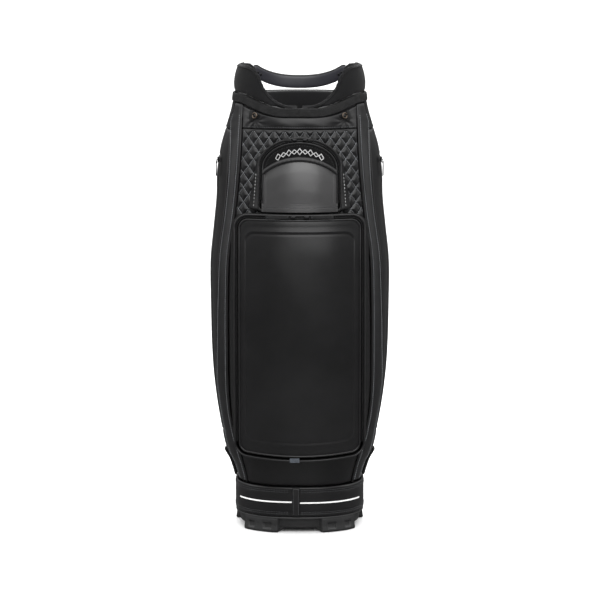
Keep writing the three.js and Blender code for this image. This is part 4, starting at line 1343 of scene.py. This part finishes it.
def strap_anchor(end, strap_y, z):
    """A sewn webbing plate on the back, and the ring that joins the strap to it."""
    angle = 180 - angle_of(float(STRAP["x"]), z)
    seat = body(angle, z)
    slope = body(angle - 3, z) - body(angle + 3, z)
    turn = math.atan2(slope[1], slope[0])
    spot = np.array([seat[0] + 2.4, seat[1] + 4.4, z])
    plate = rounded_box(f"strap_anchor_web_{end}", (0, 0, 0), (34, 5, 26), 1.4)
    points = turned(millimetres(vertex_array(plate.data)), turn) + spot
    plate.data.vertices.foreach_set("co", metres(points).ravel())
    dress(plate, WEB, replaces=[f"strap_anchor_{end}"])
    square = ((-13.5, -9.5), (13.5, -9.5), (13.5, 9.5), (-13.5, 9.5))
    box = turned(np.array([[x, 2.7, y] for x, y in square]), turn)
    corners = np.vstack([box, box[:1]]) + spot
    outwards = (-math.sin(turn), math.cos(turn), 0.0)
    rows = [(corners[k:k + 2], outwards) for k in range(4)]
    sew(f"strap_anchor_stitches_{end}", rows, PALE_THREAD, "webbing", pitch=3.6, length=2.6)
    near, far = seat[1] + 5.2, strap_y + 1.0
    around = np.linspace(0, 2 * math.pi, 40, endpoint=False)
    offsets = np.stack([0 * around, ((far - near) / 2 + 2.2) * np.cos(around), 7.0 * np.sin(around)], 1)
    ring = np.array([STRAP["x"], (far + near) / 2, z]) + offsets
    dress(tube(f"strap_ring_{end}", ring, 1.5, 10, closed=True, out=(1.0, 0, 0)), NICKEL)


def turned(points, angle):
    """Points turned about the vertical."""
    c, s = math.cos(angle), math.sin(angle)
    return points @ np.array([[c, s, 0], [-s, c, 0], [0, 0, 1]])


# ---- Pockets ----
def arc(x, z, half_x, half_z, start, end, count):
    """Points (x, 0, z) along an arc, in degrees."""
    turn = np.radians(np.linspace(start, end, count))
    return np.stack([x + half_x * np.cos(turn), 0 * turn, z + half_z * np.sin(turn)], 1)


def main_outline(inset, count):
    """Points (x, z) round the main pocket's outline, from the middle of the bottom, anticlockwise as seen."""
    corner = max(MAIN["corner"] - inset, 1.0)
    flat, low, high = MAIN["half"] - inset - corner, MAIN["low"] + inset, MAIN["high"] - inset
    middles = ((flat, low + corner), (flat, high - corner), (-flat, high - corner), (-flat, low + corner))
    corners = [arc(x, z, corner, corner, 90 * k - 90, 90 * k, 24) for k, (x, z) in enumerate(middles)]
    t = np.linspace(0, 1, 16, endpoint=False)
    dip = np.stack([flat * t, 0 * t, low - MAIN["sag"] * (1 - t * t)], 1)
    ring = resample_to(np.concatenate([dip, *corners, dip[::-1] * [-1, 1, 1]]), count + 1)[:-1]
    return ring[:, 0], ring[:, 2]


def upper_outline(inset, count):
    """Points (x, z) round the upper pocket's outline, from the middle of the bottom: an arch over two sides."""
    half, low, spring = UPPER["half"] - inset, UPPER["low"] + inset, UPPER["spring"]
    foot = max(8.0 - inset, 1.0)
    ring = resample_to(np.concatenate([
        [(0, 0, low)],
        arc(half - foot, low + foot, foot, foot, -90, 0, 12),
        arc(0, spring, half, UPPER["high"] - inset - spring, 0, 180, 70),
        arc(-half + foot, low + foot, foot, foot, 180, 270, 12),
        [(0, 0, low)],
    ]), count + 1)[:-1]
    return ring[:, 0], ring[:, 2]


MAIN_FLARE = profile((150, 1.5), (190, 3), (260, 8), (560, 8), (620, 5), (645, 1))
UPPER_FLARE = profile((640, 20), (680, 13), (720, 6), (760, 2), (790, 0))


def gusset(name, outline, face, flare, half, clear, puffed, count=360):
    """The pocket's wall: from its piped front edge back to the body, swelling a little between."""
    steps = np.concatenate([[0, 0.015, 0.04, 0.08], np.linspace(0.14, 0.92, 12), [0.97, 1.0]])
    waves = np.sin(np.arange(count) * 0.9) * np.sin(np.arange(count) * 0.23)

    def surface(inset, swell):
        x0, z0 = outline(inset, count)
        front = face(x0, z0)
        x1 = x0 * (1 + flare(z0) / half)
        back_y = front_y(x1, z0) - clear
        away = unit(np.stack(outline(inset - 4, count), 1) - np.stack([x0, z0], 1))
        layers = []
        for t in steps:
            bulge = swell * math.sin(math.pi * t) * (1 + 0.16 * waves)
            if swell:
                bulge = bulge - 1.4 * max(0, 1 - t / 0.06) ** 2
            x = x0 + (x1 - x0) * t + away[:, 0] * bulge
            layers.append(np.stack([x, front + (back_y - front) * t, z0 + away[:, 1] * bulge * 0.8], -1))
        return np.array(layers)

    return shell(name, surface(0, puffed), surface(WALL, 0), wrap=True)


def ring_path(outline, face, inset, lift, low=None, count=600):
    """Points and normals round a pocket's face; with low, only above that height, starting on the right."""
    x, z = outline(inset, count)
    points = np.stack([x, face(x, z) - lift, z], -1)
    if low is not None:
        keep = z > low
        first = int(np.argmax(keep))
        points = points[keep] if first == 0 else points[first:first + int(keep.sum())]
    x, z = points[:, 0], points[:, 2]
    step = 2.0
    slope_x = (face(x + step, z) - face(x - step, z)) / (2 * step)
    slope_z = (face(x, z + step) - face(x, z - step)) / (2 * step)
    return points, unit(np.stack([slope_x, -np.ones_like(slope_x), slope_z], -1))


def disc_grid(outline, face, inset, count, rings, offset):
    """A pocket face as rings that shrink from its outline to its middle.

    offset(x, z, distance) is how proud it stands."""
    x0, z0 = outline(inset, count)
    mid_x, mid_z = 0.0, (z0.max() + z0.min()) / 2
    layers = []
    steps = np.concatenate([[0, 0.004, 0.01, 0.018, 0.028, 0.04, 0.055, 0.075], np.linspace(0.1, 0.985, rings)])
    for t in steps:
        x = x0 + (mid_x - x0) * t
        z = z0 + (mid_z - z0) * t
        near = t * np.minimum(np.hypot(x0 - mid_x, z0 - mid_z), (x0.max() - x0.min()) / 2)
        y = face(x, z) - offset(x, z, near)
        layers.append(np.stack([x, y, z], -1))
    return np.array(layers)


def face_shell(name, outline, face, inset, count, rings, offset, thick):
    """A pocket door: its padded outer face and a plain inner one, closed at the edge and in the middle."""
    outer = disc_grid(outline, face, inset, count, rings, offset)
    inner = disc_grid(outline, face, inset, count, rings, lambda x, z, near: np.full_like(x, -thick))
    uvs = np.stack([outer, inner])[..., [0, 2]].reshape(-1, 2)
    return shell(name, outer, inner, wrap=True, uvs=uvs, discs=True)


def pocket_zip(kind, outline, face, low, width, pitch=2.2, count=None):
    """A pocket's zip, round its outline above a height: the tape and the teeth."""
    inner = ring_path(outline, face, WALL + GAP + ZIP - 0.1, -1.4, low)[0]
    outer = ring_path(outline, face, WALL + GAP + 0.1, -1.4, low)[0]
    count = count or min(len(inner), len(outer))
    front = np.stack([resample_to(inner, count), resample_to(outer, count)])
    tape = shell(f"{kind}_zip_tape", front, front + np.array([0, 1.6, 0]))
    dress(tape, ZIP_TAPE, replaces=[f"{kind}_pocket_zip"])
    chain = ring_path(outline, face, WALL + GAP + ZIP / 2, -1.0, low)
    teeth(f"{kind}_zip_teeth", *chain, width=width, pitch=pitch)


def closed_row(points, normals):
    return np.vstack([points, points[:1]]), np.vstack([normals, normals[:1]])


def main_pocket():
    """The main pocket: its knitted wall and piping, zip, padded door with two seams and a welt, and its tag."""
    face, rider = main_face, "main_pocket_door"
    seams = (8.6, 14.6)  # how far the door's two seams lie from its edge
    piece = gusset("main_gusset_knit", main_outline, face, MAIN_FLARE, MAIN["half"], 3.2, 1.6)
    dress(piece, KNIT, replaces=["main_pocket_gusset"])
    points, normals = ring_path(main_outline, face, 0.6, -0.4)
    dress(tube("main_edge_piping", points, 2.1, 10, closed=True, out=normals), SMOOTH)
    pocket_zip("main", main_outline, face, low=186, width=3.8)

    def swell(x, z, near):
        low, high = seams
        band = 0.9 * smoothstep(near, low, low + 1) * (1 - smoothstep(near, high - 1, high))
        soft = 0.9 * np.sin(x * 0.021 + 0.7) * np.sin(z * 0.0105 + 0.6) + 0.35 * np.sin(x * 0.05 + z * 0.031)
        seam_depth = sum(0.8 * groove(near, at) for at in seams)
        return -1.8 + 2.0 * round_edge(near / 5.0) + soft * smoothstep(near, 8, 50) - seam_depth + band

    door = face_shell("main_door_leather", main_outline, face, DOOR_INSET, 360, 96, swell, WALL)
    dress(door, LEATHER, rider, [rider])
    rows = [closed_row(*ring_path(main_outline, face, DOOR_INSET + at, -0.9)) for at in seams]
    sew("main_door_stitches", rows, BLACK_THREAD, "leather", rider, pitch=5.4, length=3.7, radius=0.44)
    points, normals = ring_path(main_outline, face, DOOR_INSET + 2.2, 0.2)
    dress(tube("main_door_welt", points, 2.1, 10, closed=True, out=normals), SMOOTH, rider)
    z = MAIN["high"] - WALL - GAP + 0.4
    y = float(face(13.0, z))
    for side, side_name in LEFT_RIGHT:
        slider(f"main_slider_{side_name}", (side * 13, y - 2.6, z), (11, 4, 6.6), side)
        webbing_pull(f"main_pull_{side_name}", (side * 43.2, y - 3.2, z), (45, 2.4, 6.4))
    x, t = np.meshgrid(np.linspace(-19.5, -0.5, 14), np.linspace(0, 1, 9))
    tag_y = float(face(10.0, 155.0)) - 2.2 - 0.8 * np.sin(math.pi * t) + 1.2 * t
    tag = np.stack([x, tag_y, 158.6 - 9 * t], -1)
    dress(shell("main_tag", tag, tag + np.array([0, 0.9, 0])), TAG)


def webbing_pull(name, centre, size):
    """A flat webbing pull with sewn ends, lying sideways from its slider."""
    piece = rounded_box(f"{name}_web", centre, size, corner=min(size) * 0.34)
    layer = piece.data.uv_layers.new(name="cloth")
    spots = np.array([piece.data.vertices[loop.vertex_index].co[:] for loop in piece.data.loops])
    layer.data.foreach_set("uv", spots[:, [0, 2]].ravel())
    dress(piece, WEB, name, [name])
    x, y, z = centre
    rows = []
    for end in (-1, 1):
        at = x + end * (size[0] / 2 - size[2] * 0.45)
        line = [[at, y - size[1] / 2, z + up * size[2] * 0.32] for up in (-1, 1)]
        rows.append((np.array(line), (0.0, -1.0, 0.0)))
    sew(f"{name}_stitches", rows, GREY_THREAD, "webbing", name, pitch=2.0, length=1.5, radius=0.28)


FOLD_TOP, FOLD_RADIUS = 745, 109


def fold_line(x):
    """The height of the padded fold's middle, an arc over the upper door."""
    turn = np.arcsin(np.clip(x / FOLD_RADIUS, -0.97, 0.97))
    return FOLD_TOP - FOLD_RADIUS * (1 - np.cos(turn))


def upper_pocket():
    """The upper pocket: wall, zip, a door with a padded fold across it, and an ornament above the fold."""
    upper_wall()
    pocket_zip("upper", upper_outline, upper_face, low=664, width=3.4, pitch=2.0, count=300)
    rider = "upper_pocket_door"
    upper_door(rider)
    x, z = np.meshgrid(np.linspace(-74, 74, 60), np.linspace(641.5, 650.4, 8))
    strip = np.stack([x, upper_face(x, z) - 0.5, z], -1)
    dress(shell("upper_hinge_strip", strip, strip + np.array([0, 1.4, 0])), GLOSS)
    upper_fold(rider)
    ornament(rider)
    z = UPPER["high"] - WALL - GAP - 0.6
    y = float(upper_face(10.0, z))
    for side, side_name in LEFT_RIGHT:
        slider(f"upper_slider_{side_name}", (side * 10, y - 3, z), (9, 3.6, 4.6), side)
        webbing_pull(f"upper_pull_{side_name}", (side * 23, y - 3.6, z), (14, 1.8, 4.2))


def upper_wall():
    """The upper pocket's wall with a stitch row down each side, and its piping."""
    half, share = UPPER["half"], 0.42
    piece = gusset("upper_gusset_knit", upper_outline, upper_face, UPPER_FLARE, half, 1.0, 0.8, 300)
    dress(piece, LEATHER, replaces=["upper_pocket_gusset"])
    points, normals = ring_path(upper_outline, upper_face, 0.6, -0.3, low=656)
    dress(tube("upper_edge_piping", points, 1.7, 10, out=normals), SMOOTH)
    rows = []
    for side in (-1, 1):
        z = np.linspace(650, 716, 80)
        x0 = np.full_like(z, side * (half - 0.2))
        x1 = side * half * (1 + UPPER_FLARE(z) / half)
        front = np.stack([x0, upper_face(x0, z), z], 1)
        rear = np.stack([x1, front_y(x1, z) - 1, z], 1)
        normal = np.cross(rear - front, [0, 0, 1.0])
        normal = unit(normal * np.sign(normal[:, :1]) * side)
        rows.append((front + (rear - front) * share + normal * 0.9, normal))
    sew("upper_gusset_stitches", rows, PALE_THREAD, "knit_fabric", pitch=6.4, radius=0.6, lift=0.5)


def upper_door(rider):
    """The upper door: glossy below the fold and matt above it, with its stitches and its welt."""
    def swell(x, z, near):
        below = fold_line(x) - z
        seam_depth = 0.8 * groove(near, 7.4) * smoothstep(z, 657, 663)
        belly = smoothstep(below, 2, 26) * (0.8 + 0.9 * smoothstep(near, 4, 40))
        crease = 0.5 * np.sin(x * 0.045 + 1) * groove(below, 12, 9)
        roll = np.maximum(round_edge(near / 5.0), 1 - smoothstep(z, 653, 659))
        return -1.8 + 2.0 * roll - seam_depth + belly + crease

    door = face_shell("upper_door_leather", upper_outline, upper_face, DOOR_INSET, 320, 70, swell, WALL)
    dress(door, GLOSS, rider, [rider])
    door.data.materials.append(MATT)
    for polygon in door.data.polygons:
        x, _, z = np.array(polygon.center) / MM
        if z > fold_line(x):
            polygon.material_index = 1
    rows = [ring_path(upper_outline, upper_face, DOOR_INSET + 7.4, -0.6, low=662)]
    sew("upper_door_stitches", rows, BLACK_THREAD, "smooth_leather", rider)
    points, normals = ring_path(upper_outline, upper_face, DOOR_INSET + 2.0, 0.2, low=658)
    dress(tube("upper_door_welt", points, 1.7, 10, out=normals), SMOOTH, rider)


def upper_fold(rider):
    """The padded fold that arches across the upper door."""
    us, ts = np.meshgrid(np.linspace(-1, 1, 90), np.linspace(0, 1, 16))
    turn = np.radians(us * 42.5)
    x = FOLD_RADIUS * np.sin(turn)
    z = FOLD_TOP - FOLD_RADIUS * (1 - np.cos(turn)) + 10 * (ts - 0.5)
    ends = np.sqrt(np.clip(1 - np.abs(us) ** 5, 0, 1))
    proud = 0.6 + (5.7 * half_round(ts) + 0.25 * np.sin(us * 60) * ends) * (0.3 + 0.7 * ends)
    y = upper_face(x, z)
    fold = shell("upper_fold_leather", np.stack([x, y - proud, z], -1), np.stack([x, y - 0.35, z], -1))
    dress(fold, SMOOTH, rider, ["upper_pocket_fold"])


def ornament(rider):
    """A plain sewn ornament over the fold: a row of linked lozenges that follows the arch."""
    count, wide, tall = 9, 9.6, 5.2
    turn = np.linspace(0, 2 * math.pi, 40, endpoint=False)
    c, s = np.cos(turn), np.sin(turn)
    reach = np.abs(c) + np.abs(s)
    for k in range(count):
        grow = 1.15 if k % 2 == 0 else 0.8
        x = (k - (count - 1) / 2) * (wide + 0.9) + wide / 2 * c / reach
        z = 759.5 - 0.0062 * x * x + tall * grow * s / reach
        path = np.stack([x, upper_face(x, z) - 0.75, z], 1)
        lozenge = tube(f"upper_ornament_{k}", path, 0.8, closed=True, flat=0.8)
        dress(lozenge, PALE_THREAD, rider)


# ---- Build ----
base_tray()
base_belt()
inside()
cuff()
binding()
ears()
handle()
front_band()
snaps()
quilted()
lower_front()
rails()
sides()
back()
shoulder_strap()
main_pocket()
upper_pocket()
